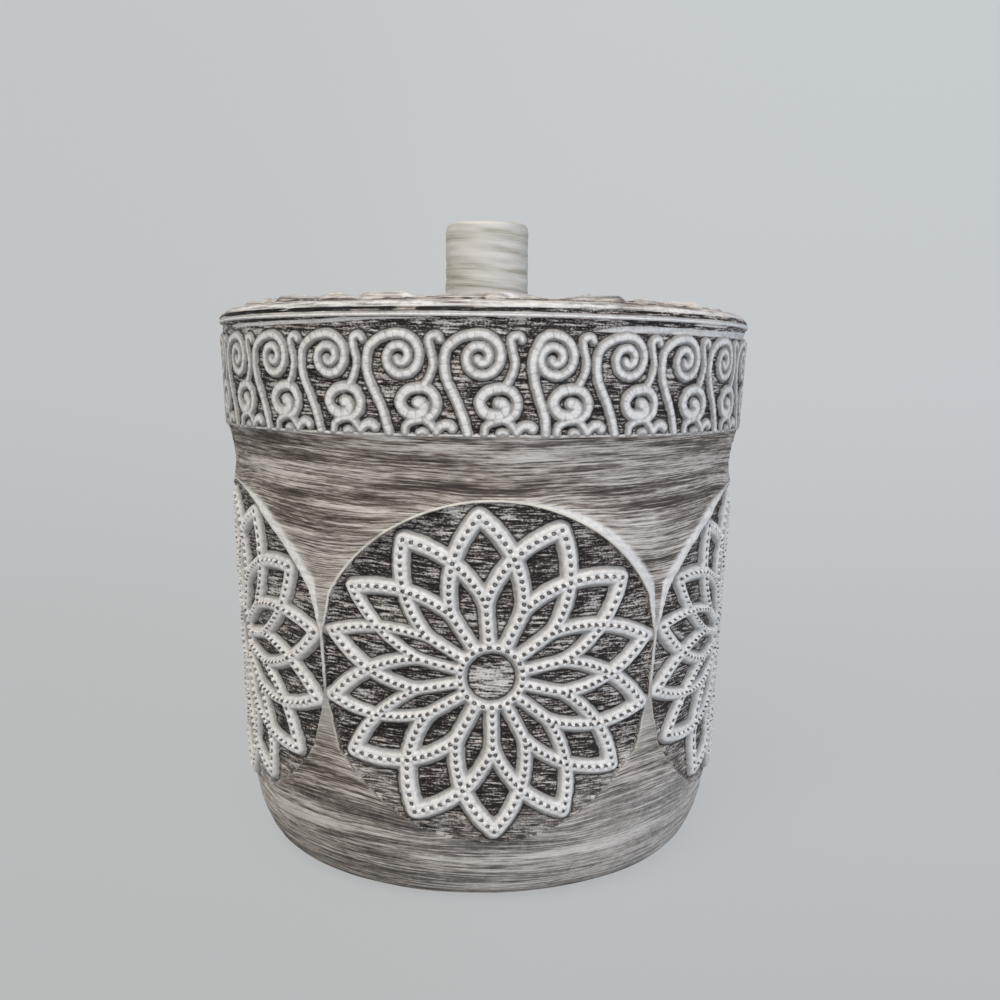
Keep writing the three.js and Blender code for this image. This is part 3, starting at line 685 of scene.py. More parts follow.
# Fifth of the jar, from ridge to ridge: the profile swept over 72 degrees with its relief, closed at both
# cut sides by a flat face.
def jarPanel(index, rows, material):
    half, columns = math.pi / disc["count"], panel["columns"]
    local, radius, height, outR, outZ = carried(rows, np.linspace(-half, half, columns))
    middle = 2 * math.pi * index / disc["count"]
    angle = local + middle
    # Grain is held still along the last columns, so that the normals of two neighbours meet
    step = 2 * half / (columns - 1)
    held = smooth(half - 5 * step, half - 1.6 * step, np.abs(local))
    readAngle = middle + np.sign(local) * (np.abs(local) * (1 - held) + half * held)
    relief, paint = np.zeros(local.shape), plainPaint(local.shape)
    outwards, level = outR[:, 0] == 1, height[:, 0]
    onWall = outwards & (level >= panel["wallFoot"]) & (level < jar["coveTopHeight"])
    onBand = outwards & (level >= jar["coveTopHeight"])
    for part, (shape, dress) in (
            (onWall, dressWall(readAngle[onWall], local[onWall], height[onWall], radius[onWall])),
            (onBand, dressBand(angle[onBand], readAngle[onBand], height[onBand], radius[onBand]))):
        relief[part] = shape
        for label, values in dress.items():
            paint[label][part] = values
    first = int(np.argmax(onWall))
    onCorner = slice(first - panel["cornerRows"], first)
    relief[onCorner] = (panel["fineGrain"] * readMap("fine", readAngle[onCorner], height[onCorner])
                        - jarLook["cornerWear"] * smooth(9, 2, height[onCorner]))
    under, circle = outZ == -1, jar["padCircle"]
    for pad in range(4):
        padAngle = math.pi / 2 * (pad + 0.5)
        away = np.sqrt(radius ** 2 + circle ** 2 - 2 * radius * circle * np.cos(angle - padAngle))
        relief = relief - under * jar["padPocket"] * smooth(jar["padRadius"] + 0.25, jar["padRadius"], away)
    onRim = (height > jar["seatHeight"] - 1.3) & (outR < 0.99) & (radius > jar["mouthRadius"])
    # The foot was rubbed thinly all over, and is painted lighter towards its right and darker towards its
    # left as painted light
    footWashAndSideLight = jarLook["footWashAndSideLight"][0] + jarLook["footWashAndSideLight"][1] * np.sin(angle)
    paint["wash"] = np.maximum(np.where(onRim, jarLook["rimWash"], paint["wash"]),
                               smooth(27, 17, height) * (outR > 0.3) * footWashAndSideLight)
    # Streaks go on over the rim and the floor as if the profile were rolled out, and differ inside
    rolledOut = np.where(outR < 0, height + 40, height) + (outZ != 0) * (outR < 0.5) * radius
    paint["tone"] += toneOf(readAngle, rolledOut + paint["drift"] / millimetre)
    paint["drift"] += grainDrift(readAngle, height) * millimetre * (outR > 0.5)
    points = pointsAt(radius + relief * outR, angle, height + relief * outZ)
    vertices, faces = closedAtPoles(points, False)
    side = (np.arange(len(rows) - 2) * columns).tolist()
    poles = [len(vertices) - 2, len(vertices) - 1]
    faces.append([poles[0]] + side + [poles[1]])
    faces.append([poles[1]] + [k + columns - 1 for k in side[::-1]] + [poles[0]])
    paint = {label: polesLast(values) for label, values in paint.items()}
    piece = meshPiece(f"jar_panel_{index + 1}", vertices, faces, paint, material)
    # The two cut sides are flat, and the edges round them sharp, so that no normal leans over at the border
    mesh = piece.data
    smoothFaces = np.ones(len(mesh.polygons), bool)
    smoothFaces[-2:] = False
    mesh.polygons.foreach_set("use_smooth", smoothFaces)
    edgeOfLoop, sharp = np.zeros(len(mesh.loops), int), np.zeros(len(mesh.edges), bool)
    mesh.loops.foreach_get("edge_index", edgeOfLoop)
    sharp[edgeOfLoop[mesh.polygons[-2].loop_start:]] = True
    mesh.edges.foreach_set("use_edge_sharp", sharp)
    return piece


# One pearl: rings from its sunk skirt to the top of its dome, as radius and height
pearls = {
    "turns": 8,
    "profile": [(1.0, -0.8), (1.0, 0.0), (0.84, 0.5), (0.48, 0.88)],
    "top": 1.0,
    "radius": 0.5,
    "height": 0.42,
    "lift": -0.05,
    "unevenness": 0.1,
    "seed": 40,
    "insideRib": 0.6,    # their paint is that of a rib's top
}


# Pearls at the given places, each spanned by two directions across and one outward: a lathe of the pearl's
# profile, copied to every place in one array. The stain round the pits reaches up their skirts, so each point
# also carries its distance from the nearest pit, read in the flower's own plane.
def pearlPiece(name, flat, pitAt, middle, directions, size, material):
    profile = np.array(pearls["profile"])
    turns = pearls["turns"]
    around = np.arange(turns) * 2 * math.pi / turns
    unit = np.stack([profile[:, 0:1] * np.cos(around), profile[:, 0:1] * np.sin(around),
                     profile[:, 1:2] + 0 * around], -1).reshape(-1, 3)
    unit = np.concatenate([unit, [[0, 0, pearls["top"]]]])
    total, count, rings = len(unit), len(middle), len(profile)
    left = np.arange(turns)
    right = (left + 1) % turns
    quads = gridFaces(rings, turns, True)
    caps = np.stack([(rings - 1) * turns + left, (rings - 1) * turns + right, np.full(turns, total - 1)], 1)
    base = left[::-1][None, :]
    faces = []
    for kind in (quads, caps, base):
        faces += (kind[None] + np.arange(count)[:, None, None] * total).reshape(-1, kind.shape[1]).tolist()
    wide, tall = pearls["radius"] * size[:, None, None], pearls["height"] * size[:, None, None]
    points = middle[:, None]
    for k, (span, way) in enumerate(zip((wide, wide, tall), directions)):
        points = points + unit[None, :, k:k + 1] * span * way[:, None]
    paint = plainPaint(count * total)
    paint["ribInside"] = np.full(count * total, pearls["insideRib"])
    paint["pit"] = pitAt((flat[0][:, None] + unit[None, :, 0] * wide[:, :, 0]).ravel(),
                         (flat[1][:, None] + unit[None, :, 1] * wide[:, :, 0]).ravel())
    return meshPiece(name, points.reshape(-1, 3), faces, paint, material)


# Row of pearls along the middle of every rib of a medallion, standing out of the wall.
def wallPearls(index, material):
    x, y = pearlPlaces(*wallFlower)
    height = disc["height"] + y
    field = fieldRadius(height)
    angle = np.arcsin(x / field) + 2 * math.pi * index / disc["count"]
    outward, across = pointsAt(1, angle, 0 * angle), pointsAt(1, angle + math.pi / 2, 0 * angle)
    upward = np.broadcast_to([0, 0, 1], outward.shape)
    middle = pointsAt(field + flower["ribHeight"] + pearls["lift"], angle, height)
    random = np.random.default_rng(pearls["seed"] + index).standard_normal(len(x))
    size = 1 + pearls["unevenness"] * random.clip(-1.5, 1.5)
    pitAt = lambda px, py: flowerField(px, py, *wallFlower)[1]
    return pearlPiece(f"jar_pearls_{index + 1}", (x, y), pitAt, middle, (across, upward, outward), size,
                      material)


# The lid
lid = {
    "radius": 52.4,
    "edge": 0.72,
    "step": 0.3,
    "top": 104.1,
    "shoulder": 3.4,
    "ribHeight": 1.0,
    "tipSwell": 0.35,
    "boss": 10.5,
    "hole": 2.3,
    "under": 99.3,
    "plug": 44.8,
    "plugWall": 4.0,
    "plugFoot": 93.7,
    "grooveHigh": 99.2,
    "grooveLow": 96.2,
    "grooveRadius": 43.0,
    "columns": 760,
    "topRows": 96,
    "flowerLength": 45.9,
    "flowerSize": 1.5,
    "pearlPitch": 2.1,
    "pearlSize": 0.8,
    "pearlSink": 0.2,
    "swellReach": (34, 44),
    "lobe": 0.12,
    "roughness": 0.1,
    "mounds": 25,
    "moundStart": 21,         # degrees
    "moundRadius": 44.5,
    "moundHalf": 2.0,
    "moundHeight": (1.0, 0.42, 0.15),  # mean, wave and grain
    "chipDepth": 0.16,
    "chipBand": (0.3, 0.42, 1.02, 1.18),  # mm over the rim: begins, is full, is full, ends
    "unchippedAt": -15.8,     # degrees where the edge kept its wash, and half the width of the place
    "unchippedHalf": 2.2,
    "stained": {"top": 0.9, "edge": 1.0},
    "lit": {"top": 0.6, "edge": 0.14, "edgeRight": 0.42},
    "stainedTo": 48.2,        # mm from the axis
    "grainShift": 60,         # mm by which the top's streaks are read further along and across
    "ribWash": 0.42,
    "paleTipShare": 0.6,
    "tipRadius": 45,
    # Petal tips painted pale at the front: degrees, half width in degrees, share
    "paleFrontTips": ((-18, 1.2, 1.0), (2.5, 2.0, 0.7)),
}
lidFlower = (lid["flowerLength"], lid["flowerSize"], evenPetals, lid["pearlPitch"])


# Closed profile of the lid: underside, plug with the seal's groove, edge, shoulder, top and hole.
def lidRows():
    seat, plug, under, foot = jar["seatHeight"], lid["plug"], lid["under"], lid["plugFoot"]
    bore, groove = plug - lid["plugWall"], lid["grooveRadius"]
    grooveLow, grooveHigh = lid["grooveLow"], lid["grooveHigh"]
    rows = [(lid["hole"], under, 0, -1), (20, under, 0, -1), (bore - 0.6, under, 0, -1),
            (bore, under - 0.6, -1, 0), (bore, foot + 0.4, -1, 0), (bore + 0.4, foot, 0, -1),
            (plug - 0.5, foot, 0, -1), (plug, foot + 0.5, 1, 0), (plug, grooveLow - 0.1, 1, 0),
            (plug - 0.1, grooveLow, 1, 0), (groove, grooveLow, 1, 0),
            (groove, grooveHigh, 1, 0), (plug - 0.1, grooveHigh, 1, 0), (plug, grooveHigh + 0.1, 1, 0),
            (plug, seat - 0.05, 1, 0), (plug + 0.1, seat, 0, -1), (49, seat, 0, -1),
            (lid["radius"] - 0.15, seat, 0, -1)]
    rows += [(lid["radius"], seat + rise, 1, 0) for rise in np.linspace(0.15, lid["edge"] - 0.12, 6)]
    edge, inner = seat + lid["edge"], lid["radius"] - lid["step"] - lid["shoulder"]
    rows.append((lid["radius"] - 0.12, edge, 1, 0))
    rows += arcRows((inner, edge), (lid["shoulder"], lid["top"] - edge), np.linspace(0, math.pi / 2, 14))
    for outer, inner, count in ((inner, lid["boss"], lid["topRows"]), (lid["boss"], lid["hole"], 14)):
        rows += [(r, lid["top"], 0, 1) for r in np.linspace(outer, inner, count)[1:]]
    return np.array(rows)


# The lid: its profile swept all round, with the flower, rough grain and a chipped edge as relief.
def lidPiece(material):
    rows, columns = lidRows(), lid["columns"]
    angle, radius, height, outR, outZ = carried(rows, np.arange(columns) * 2 * math.pi / columns)
    x, y, rise = radius * np.sin(angle), radius * np.cos(angle), height - jar["seatHeight"]
    onTop, outside = (outZ == 1) & (height > lid["top"] - 0.1), outZ > -0.5
    ribInside, pit = flowerField(x, y, *lidFlower)
    ribInside = smoothMax(ribInside, lid["boss"] - radius, 0.4)
    rib = smooth(-0.5, 1.3, ribInside) * onTop
    # The top's grain runs straight across it, so its streaks are read along x
    shift = lid["grainShift"]
    acrossTop = (x + shift) / grainMap["around"] * 2 * np.pi
    rough = readMap("chatter", acrossTop, y + shift) + readMap("fine", acrossTop, y + shift)
    lobes = (lid["lobe"] * smooth(0.3, 1.0, pit) * smooth(-0.1, 0.4, ribInside)
             * (radius > lid["boss"] + 0.4))
    # Petal tips swell towards the rim, and a ring of low mounds closes the gaps between them
    ribHeight = lid["ribHeight"] + lid["tipSwell"] * smooth(*lid["swellReach"], radius)
    mean, wave, uneven = lid["moundHeight"]
    mounds = (mean + wave * np.cos(lid["mounds"] * (angle - math.radians(lid["moundStart"])))
              + uneven * readMap("broad", angle, height))
    mounds = mounds * np.exp(-((radius - lid["moundRadius"]) / lid["moundHalf"]) ** 2)
    relief = onTop * (np.maximum(ribHeight * rib, mounds) - lid["lobe"] + lobes
                      + lid["roughness"] * rough * (1 - rib) * smooth(48.5, 47, radius))
    # Chips bite into the edge between the smooth strip on the rim and the rubbed shoulder
    chips = readMap("chatter", angle, 3 + 2.5 * rise) + 0.5 * readMap("fine", angle, 9 + 2 * rise)
    begins, full, stillFull, ends = lid["chipBand"]
    band = (smooth(begins, full, rise) * smooth(ends, stillFull, rise)
            * (radius > lid["radius"] - 1.2) * outside)
    relief = relief - lid["chipDepth"] * band * (1.0 + chips).clip(0, 2.2)
    turn = np.degrees(wrapped(angle))
    unchipped = np.exp(-((turn - lid["unchippedAt"]) / lid["unchippedHalf"]) ** 4)
    dark = band * (1.15 + 0.45 * chips).clip(0, 1.2) * (1 - 0.8 * unchipped)
    shoulder = smooth(0.95, 1.15, rise) * smooth(47.6, 48.8, radius) * outside
    raised = np.maximum(ribInside, 2 * mounds - 1)
    lit, stained = lid["lit"], lid["stained"]
    edgeLit = lit["edge"] + lit["edgeRight"] * smooth(-10, 30, turn) * smooth(170, 100, turn)
    strip = smooth(full, begins, rise) * (rise >= 0) * (0.3 + 0.5 * smooth(0.3, 0.05, rise))
    edgeWash = np.maximum(strip, (0.5 + 0.12 * chips - 0.2 * smooth(1.5, 2.4, rise)) * shoulder)
    tips = sum(share * np.exp(-((turn - at) / half) ** 2) for at, half, share in lid["paleFrontTips"])
    paint = plainPaint(angle.shape)
    paint["fieldInside"] = np.where(onTop, np.minimum(lid["stainedTo"] - radius, -raised),
                                    (dark - 0.5) * 1.2)
    paint["stain"] = np.where(onTop, stained["top"], stained["edge"])
    paint["lit"] = np.where(onTop, lit["top"], edgeLit)
    paint["wash"] = np.where(onTop, lid["ribWash"] * smooth(-0.4, 1.1, raised), edgeWash)
    paint["wash"] += lid["paleTipShare"] * onTop * np.exp(-((radius - lid["tipRadius"]) / 2) ** 2) * tips
    paint["tone"] = np.where(onTop, toneOf(acrossTop, y + shift), toneOf(angle, height + 0.6 * radius))
    points = pointsAt(radius + relief * outR, angle, height + relief * outZ).reshape(-1, 3)
    # The profile closes on itself, so the last row joins the first
    quads = gridFaces(len(rows) + 1, columns, True) % (len(rows) * columns)
    return meshPiece("lid_cast", points, quads.tolist(), paint, material)


# Pearls on the lid's ribs, larger than the wall's, standing upright.
def lidPearls(material):
    x, y = pearlPlaces(*lidFlower)
    keep = np.hypot(x, y) > lid["boss"] + 0.8
    x, y = x[keep], y[keep]
    swell = lid["tipSwell"] * smooth(*lid["swellReach"], np.hypot(x, y))
    foot = lid["top"] + lid["ribHeight"] - lid["pearlSink"] + swell
    middle = np.stack([x, -y, foot], -1)
    directions = [np.broadcast_to(row, middle.shape) for row in np.eye(3)]
    size = np.full(len(x), lid["pearlSize"])
    pitAt = lambda px, py: 9 + 0 * px
    return pearlPiece("lid_pearls", (x, y), pitAt, middle, directions, size, material)


# The knob
knob = {
    "foot": 105.3,
    "radius": 8.35,
    "height": 17.0,
    "rounding": 0.9,
    "hole": 2.3,
    "holeHeight": 11.3,
    "columns": 160,
    "sideRows": 44,
    "waver": 0.06,
    "slant": 0.09,
    "topDrop": 0.35,
    "dropLean": 0.15,    # how much more the top drops on one side, and the angle it leans by
    "leanTurn": 0.5,
    "offCentre": 0.35,
}


# The knob: a turned cylinder whose sides and top waver by less than a tenth of a millimetre. It stands a
# little off the middle, and its top falls towards the right.
def knobPiece(material):
    foot, top = knob["foot"], knob["foot"] + knob["height"]
    holeTop, rounding = foot + knob["holeHeight"], knob["rounding"]
    rows = [(0.0, holeTop, 0, -1), (knob["hole"], holeTop, -1, 0), (knob["hole"], foot + 0.2, -1, 0),
            (knob["hole"] + 0.2, foot, 0, -1), (knob["radius"] - 0.25, foot, 0, -1)]
    rows += [(knob["radius"], z, 1, 0)
             for z in np.linspace(foot + 0.25, top - rounding - 0.3, knob["sideRows"])]
    inner = knob["radius"] - rounding
    rows += arcRows((inner, top - rounding), (rounding, rounding), np.linspace(0, math.pi / 2, 8))
    rows += [(r, top, 0, 1) for r in np.linspace(inner, 0, 14)[1:]]
    columns = knob["columns"]
    angle, radius, height, outR, outZ = carried(np.array(rows), np.arange(columns) * 2 * math.pi / columns)
    shown = (outR > 0) | (outZ > 0)
    slant = height + knob["slant"] * radius * np.sin(angle)
    waver = readMap("middle", angle, slant * 1.3) - 1.2
    relief = shown * knob["waver"] * waver.clip(-3, 0)
    lean = knob["dropLean"] * radius / knob["radius"] * np.sin(angle + knob["leanTurn"])
    drop = knob["topDrop"] * (1 - knob["dropLean"] + lean) * smooth(top - 2.5, top - rounding, height)
    points = pointsAt(radius + relief * outR, angle, height + relief * outZ - drop)
    points[..., 0] += knob["offCentre"] * (shown & (radius > 0))
    return meshPiece("knob_turned", *closedAtPoles(points, True), {}, material)


# sRGB hex to linear colour: each channel c becomes c/12.92 or ((c+0.055)/1.055)^2.4.
def linear(code):
    channels = np.array([int(code[k:k + 2], 16) for k in (1, 3, 5)]) / 255
    low = channels / 12.92
    high = ((channels + 0.055) / 1.055) ** 2.4
    return (*np.where(channels <= 0.04045, low, high).tolist(), 1.0)


# Adds a shader node: settings are its own fields, and inputs are values or the sockets that feed it.
def addNode(tree, kind, settings=None, inputs=None):
    node = tree.nodes.new("ShaderNode" + kind)
    for name, value in (settings or {}).items():
        setattr(node, name, value)
    for name, value in (inputs or {}).items():
        if isinstance(value, bpy.types.NodeSocket):
            tree.links.new(value, node.inputs[name])
        else:
            node.inputs[name].default_value = value
    return node


# New material with an emptied node tree, and the socket of its Object coordinates.
def newMaterial(name):
    material = bpy.data.materials.new(name)
    material.use_nodes = True
    tree = material.node_tree
    tree.nodes.clear()
    return material, tree, addNode(tree, "TexCoord").outputs["Object"]


# Last nodes of a surface: a bump from one height, and the shader with its remaining inputs.
def finishSurface(tree, height, strength, distance, inputs):
    bump = addNode(tree, "Bump", inputs={"Height": height, "Strength": strength, "Distance": distance})
    shader = addNode(tree, "BsdfPrincipled", inputs={"Normal": bump.outputs[0], **inputs})
    addNode(tree, "OutputMaterial", inputs={"Surface": shader.outputs[0]})


# Colour socket of a ramp whose stops are given as place and hex colour.
def rampStops(node, stops):
    ramp = node.color_ramp
    while len(ramp.elements) < len(stops):
        ramp.elements.new(0.5)
    for element, (place, code) in zip(ramp.elements, stops):
        element.position = place
        element.color = linear(code)
    return node.outputs[0]


resinFinish = {
    # Noises by scale per metre and detail
    "fineGrain": ((75, 75, 3500), 4.0),       # streaks 13 mm long and 0.29 mm thick
    "broadGrain": ((28, 28, 420), 3.0),       # streaks 36 mm long and 2.4 mm thick
    "chatterGrain": ((300, 300, 3000), 4.0),  # tool marks 3.3 mm by 0.33 mm in the sunk fields
    "mottle": ((900, 900, 900), 3.0),         # 1.1 mm mottling of the rubbed wash
    "speck": ((2600, 2600, 2600), 2.0),       # 0.4 mm grit in the wash
    "patches": ((150, 150, 260), 2.0),        # stain pooled in patches 6 mm long and 4 mm high
    # Weighted sums that carry the figure, in mm where they stand for an edge
    "sums": {
        "figure": (("tone", 0.14), ("fineGrain", 1.6), ("broadGrain", 0.2), ("chatterGrain", 0.95)),
        "cut": (("chatterGrain", 1.3), ("speck", 0.5), ("patches", 0.25), ("lit", 0.35)),
        # chalk: the wash's mottle and grit, with a little painted shading across each facet of the scroll
        # ribs
        "chalk": (("mottle", 0.6), ("speck", 0.2), ("facet", 0.1)),
        "ribEdge": (("ribInside", 1.0), ("mottle", 0.4)),
        "fieldEdge": (("fieldInside", 1.0), ("mottle", 0.13), ("speck", 0.1)),
        "rubEdge": (("wash", 1.0), ("mottle", 0.25), ("fineGrain", 0.3)),
        "wornEdge": (("worn", 1.0), ("fineGrain", 0.9)),
        "pitEdge": (("pit", 1.0), ("mottle", 0.16)),
        "creaseEdge": (("facet", 1.0), ("mottle", 0.7), ("patches", 0.7)),
    },
    # Soft steps over those sums: from 0 to 1 between the two values
    "steps": {
        "woodShare": ("figure", 1.0, 1.72),
        "stainShare": ("cut", 1.04, 1.44),
        # chalkShare: where the washed ramp stands, with the facets' painted shading in it
        "chalkShare": ("chalk", 0.2, 0.6),
        "onRib": ("ribEdge", -0.12, 0.14),
        # ribTop: how far in from a rib's edge the painted shade on its flank gives way to the wash
        "ribTop": ("ribEdge", 0.2, 0.75),
        # crevice: stain pooled and painted shade in the field along the foot of each rib
        "crevice": ("ribEdge", -0.52, -0.02),
        "inCut": ("fieldEdge", 0.0, 0.2),
        # lipReach: the thin band outside a circle's edge that carries the lip line of rubbed wash and painted
        # highlight
        "lipReach": ("fieldEdge", -0.34, -0.1),
        "rubbed": ("rubEdge", 0.4, 1.05),
        "wornShare": ("wornEdge", 0.4, 1.7),
        "dot": ("pitEdge", 0.51, 0.37),
        "dotFloor": ("pitEdge", 0.3, 0.14),
        "crease": ("creaseEdge", 0.93, 0.56),
    },
    "wood": [(0.0, "#3b332f"), (0.3, "#736961"), (0.52, "#9e958e"), (0.74, "#c4bcb5"), (1.0, "#e4dfd9")],
    "stained": [(0.0, "#0a0706"), (0.28, "#251d1b"), (0.5, "#574d4a"), (0.72, "#a09894"), (1.0, "#dedbd7")],
    "washed": [(0.0, "#d0cfce"), (0.5, "#efeeed"), (1.0, "#fffefd")],
    # Grey of the rib flanks: painted shade
    "ribFlankShade": "#a9a7a5",
    "wornGrey": "#b8b4b0",
    # Colour of the lip line: rubbed wash and painted highlight
    "lipLineHighlightColour": "#fbf6ea",
    # Colour of the painted shade along the foot of the ribs
    "creviceColour": "#161010",
    "dotColour": "#3a3230",
    "creasePitch": panel["creasePitch"],      # facets of the paint match those of the relief
    "creasedShare": 0.24,                     # wash missing in a crease
    "dotShare": 0.9,
    "dotFloorShare": 0.68,
    "stainRoughness": 0.56,
    "washRoughness": 0.7,
    "specular": 0.36,
    "creaseDepth": 0.4,
    "bumpStrength": 0.7,
    "bumpHeight": 0.00012,                    # metres
}


# Cast polyresin with a driftwood grain, stained dark, then rubbed with white wash so that only the raised
# ribs and edges keep it: matt, with the stain a little smoother than the chalky wash.
# Painted shade lies along the ribs' feet and flanks and across the scroll's facets, and painted highlight on
# the circles' lips.
def rubbedResin(name, settings):
    material, tree, coordinates = newMaterial(name)
    # The grain rises and falls with the drift that the mesh carries
    drift = addNode(tree, "Attribute", {"attribute_name": "drift"}).outputs["Fac"]
    upward = addNode(tree, "CombineXYZ", inputs={"Z": drift}).outputs[0]
    bent = addNode(tree, "VectorMath", {"operation": "ADD"}, {0: coordinates, 1: upward})
    value = {}
    for label in ("fineGrain", "broadGrain", "chatterGrain", "mottle", "speck", "patches"):
        scale, detail = settings[label]
        mapped = addNode(tree, "Mapping", inputs={"Vector": bent.outputs[0], "Scale": scale})
        noise = addNode(tree, "TexNoise", inputs={
            "Vector": mapped.outputs[0], "Scale": 1.0, "Detail": detail, "Roughness": 0.68})
        value[label] = noise.outputs[0]
    for label in ("ribInside", "fieldInside", "pit", "lip", "wash", "worn", "stain", "lit", "run", "tone"):
        value[label] = addNode(tree, "Attribute", {"attribute_name": label}).outputs["Fac"]
    # A facet of the scroll ribs starts in a crease wherever the run along them reaches a whole pitch
    turns = addNode(tree, "Math", {"operation": "DIVIDE"}, {0: value["run"], 1: settings["creasePitch"]})
    value["facet"] = addNode(tree, "Math", {"operation": "FRACT"}, {0: turns.outputs[0]}).outputs[0]
    for label, parts in settings["sums"].items():
        total = 0.0
        for part, weight in parts:
            total = addNode(tree, "Math", {"operation": "MULTIPLY_ADD"},
                            {0: value[part], 1: weight, 2: total}).outputs[0]
        value[label] = total
    for label, (source, low, high) in settings["steps"].items():
        value[label] = addNode(tree, "MapRange", {"interpolation_type": "SMOOTHSTEP"},
                               {"Value": value[source], "From Min": low, "From Max": high}).outputs[0]
    wood, stained, washed = (
        rampStops(addNode(tree, "ValToRGB", inputs={"Fac": value[share]}), settings[stops])
        for share, stops in (("woodShare", "wood"), ("stainShare", "stained"), ("chalkShare", "washed")))
    outside = addNode(tree, "Math", {"operation": "SUBTRACT"}, {0: 1.0, 1: value["inCut"]}).outputs[0]
    keptBare = addNode(tree, "Math", {"operation": "MULTIPLY_ADD"},
                       {0: value["crease"], 1: -settings["creasedShare"], 2: 1.0}).outputs[0]
    # Ribs are painted greyer from their tops out to their edges: painted shade on their flanks
    ribShadedColour = addNode(tree, "Mix", {"data_type": "RGBA"},
                        {0: value["ribTop"], 6: linear(settings["ribFlankShade"]), 7: washed}).outputs[2]
    # Paint in the order in which it went on, with painted shade along the ribs' feet and flanks and painted
    # highlight on the lips laid in among it: each layer covers the product of its three shares
    layers = [(outside, value["wornShare"], value["worn"], linear(settings["wornGrey"])),
              (value["inCut"], value["stain"], 1.0, stained),
              (outside, value["rubbed"], 1.0, washed),
              # The lip line: rubbed wash and painted highlight
              (outside, value["lipReach"], value["lip"], linear(settings["lipLineHighlightColour"])),
              # Painted shade in the field along the foot of the ribs
              (value["inCut"], value["crevice"], 1.0, linear(settings["creviceColour"])),
              (value["onRib"], keptBare, 1.0, ribShadedColour),
              (value["dot"], settings["dotShare"], 1.0, linear(settings["dotColour"])),
              (value["dotFloor"], settings["dotFloorShare"], 1.0, washed)]
    colour = wood
    for first, second, third, coat in layers:
        share = addNode(tree, "Math", {"operation": "MULTIPLY"}, {0: first, 1: second}).outputs[0]
        share = addNode(tree, "Math", {"operation": "MULTIPLY"}, {0: share, 1: third}).outputs[0]
        colour = addNode(tree, "Mix", {"data_type": "RGBA"}, {0: share, 6: colour, 7: coat}).outputs[2]
    roughness = addNode(tree, "MapRange", inputs={
        "Value": value["onRib"], "To Min": settings["stainRoughness"], "To Max": settings["washRoughness"]})
    surface = addNode(tree, "Math", {"operation": "MULTIPLY_ADD"},
                      {0: value["crease"], 1: -settings["creaseDepth"], 2: value["cut"]}).outputs[0]
    finishSurface(tree, surface, settings["bumpStrength"], settings["bumpHeight"], {
        "Base Color": colour, "Roughness": roughness.outputs[0],
        "Specular IOR Level": settings["specular"]})
    return material


knobFinish = {
    "slant": -0.06,                   # radians by which the turned knob's grain falls to the right
    "streaks": (45, 45, 620),         # per metre: 22 mm long, 1.6 mm thick
    "hair": (110, 110, 3200),         # 9 mm long, 0.3 mm thick
    "hairShare": 0.3,
    "shown": (0.32, 0.58),            # noise values that take the ramp's first and last colours
    "wood": [(0.0, "#968f83"), (0.3, "#c1bcb1"), (0.55, "#d7d5cd"), (1.0, "#e7e5e0")],
    "roughness": 0.6,
}


# The same polyresin, washed nearly white all over, with thin slanting grain left showing.
def paleResin(name, settings):
    material, tree, coordinates = newMaterial(name)
    turned = addNode(tree, "Mapping", inputs={"Vector": coordinates, "Rotation": (0, settings["slant"], 0)})
    noises = []
    for label in ("streaks", "hair"):
        mapped = addNode(tree, "Mapping", inputs={"Vector": turned.outputs[0], "Scale": settings[label]})
        noises.append(addNode(tree, "TexNoise", inputs={
            "Vector": mapped.outputs[0], "Scale": 1.0, "Detail": 3.0, "Roughness": 0.6}).outputs[0])
    both = addNode(tree, "Mix", {"data_type": "FLOAT"}, {
        0: settings["hairShare"], 2: noises[0], 3: noises[1]}).outputs[0]
    ranged = addNode(tree, "MapRange", inputs={
        "Value": both, "From Min": settings["shown"][0], "From Max": settings["shown"][1]})
    colour = rampStops(addNode(tree, "ValToRGB", inputs={"Fac": ranged.outputs[0]}), settings["wood"])
    finishSurface(tree, both, 0.6, 0.0001, {"Base Color": colour, "Roughness": settings["roughness"]})
    return material


smallFinishes = {
    "moulded_silicone_seal": {"colours": ("#d8d8d2", "#e6e6e1"), "scale": 700.0, "rough": 0.42, "metal": 0.0,
                              "nodes": ["lid_seal"]},
    "zinc_plated_steel": {"colours": ("#a9acae", "#c9cccd"), "scale": 900.0, "rough": 0.34, "metal": 1.0,
                          "nodes": ["knob_washer", "knob_screw"]},
    "die_cut_foam": {"colours": ("#2b2b2d", "#454548"), "scale": 2600.0, "rough": 0.92, "metal": 0.0,
                     "nodes": [f"foot_pad_{k}" for k in (1, 2, 3, 4)]},
}


# Plain stock of the hidden fittings, its two close tones mixed by noise of the scale named.
def smallMaterial(name, settings):
    material, tree, coordinates = newMaterial(name)
    noise = addNode(tree, "TexNoise", inputs={
        "Vector": coordinates, "Scale": settings["scale"], "Detail": 3.0}).outputs[0]
    dark, pale = (linear(code) for code in settings["colours"])
    colour = addNode(tree, "Mix", {"data_type": "RGBA"}, {0: noise, 6: dark, 7: pale}).outputs[2]
    finishSurface(tree, noise, 0.4, 0.00005, {
        "Base Color": colour, "Roughness": settings["rough"], "Metallic": settings["metal"]})
    return material


driftwoodResin = rubbedResin("rubbed_driftwood_polyresin", resinFinish)
knobResin = paleResin("washed_polyresin_knob", knobFinish)
for name, settings in smallFinishes.items():
    finish = smallMaterial(name, settings)
    for node in settings["nodes"]:
        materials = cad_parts[node].data.materials
        if not materials:
            materials.append(finish)
        for slotIndex in range(len(materials)):
            materials[slotIndex] = finish
print("materials ready")


# Lets a piece move with its body, in place of the CAD node named, which it hides.
def attach(piece, body, node):
    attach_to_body(piece, body)
    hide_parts(node)


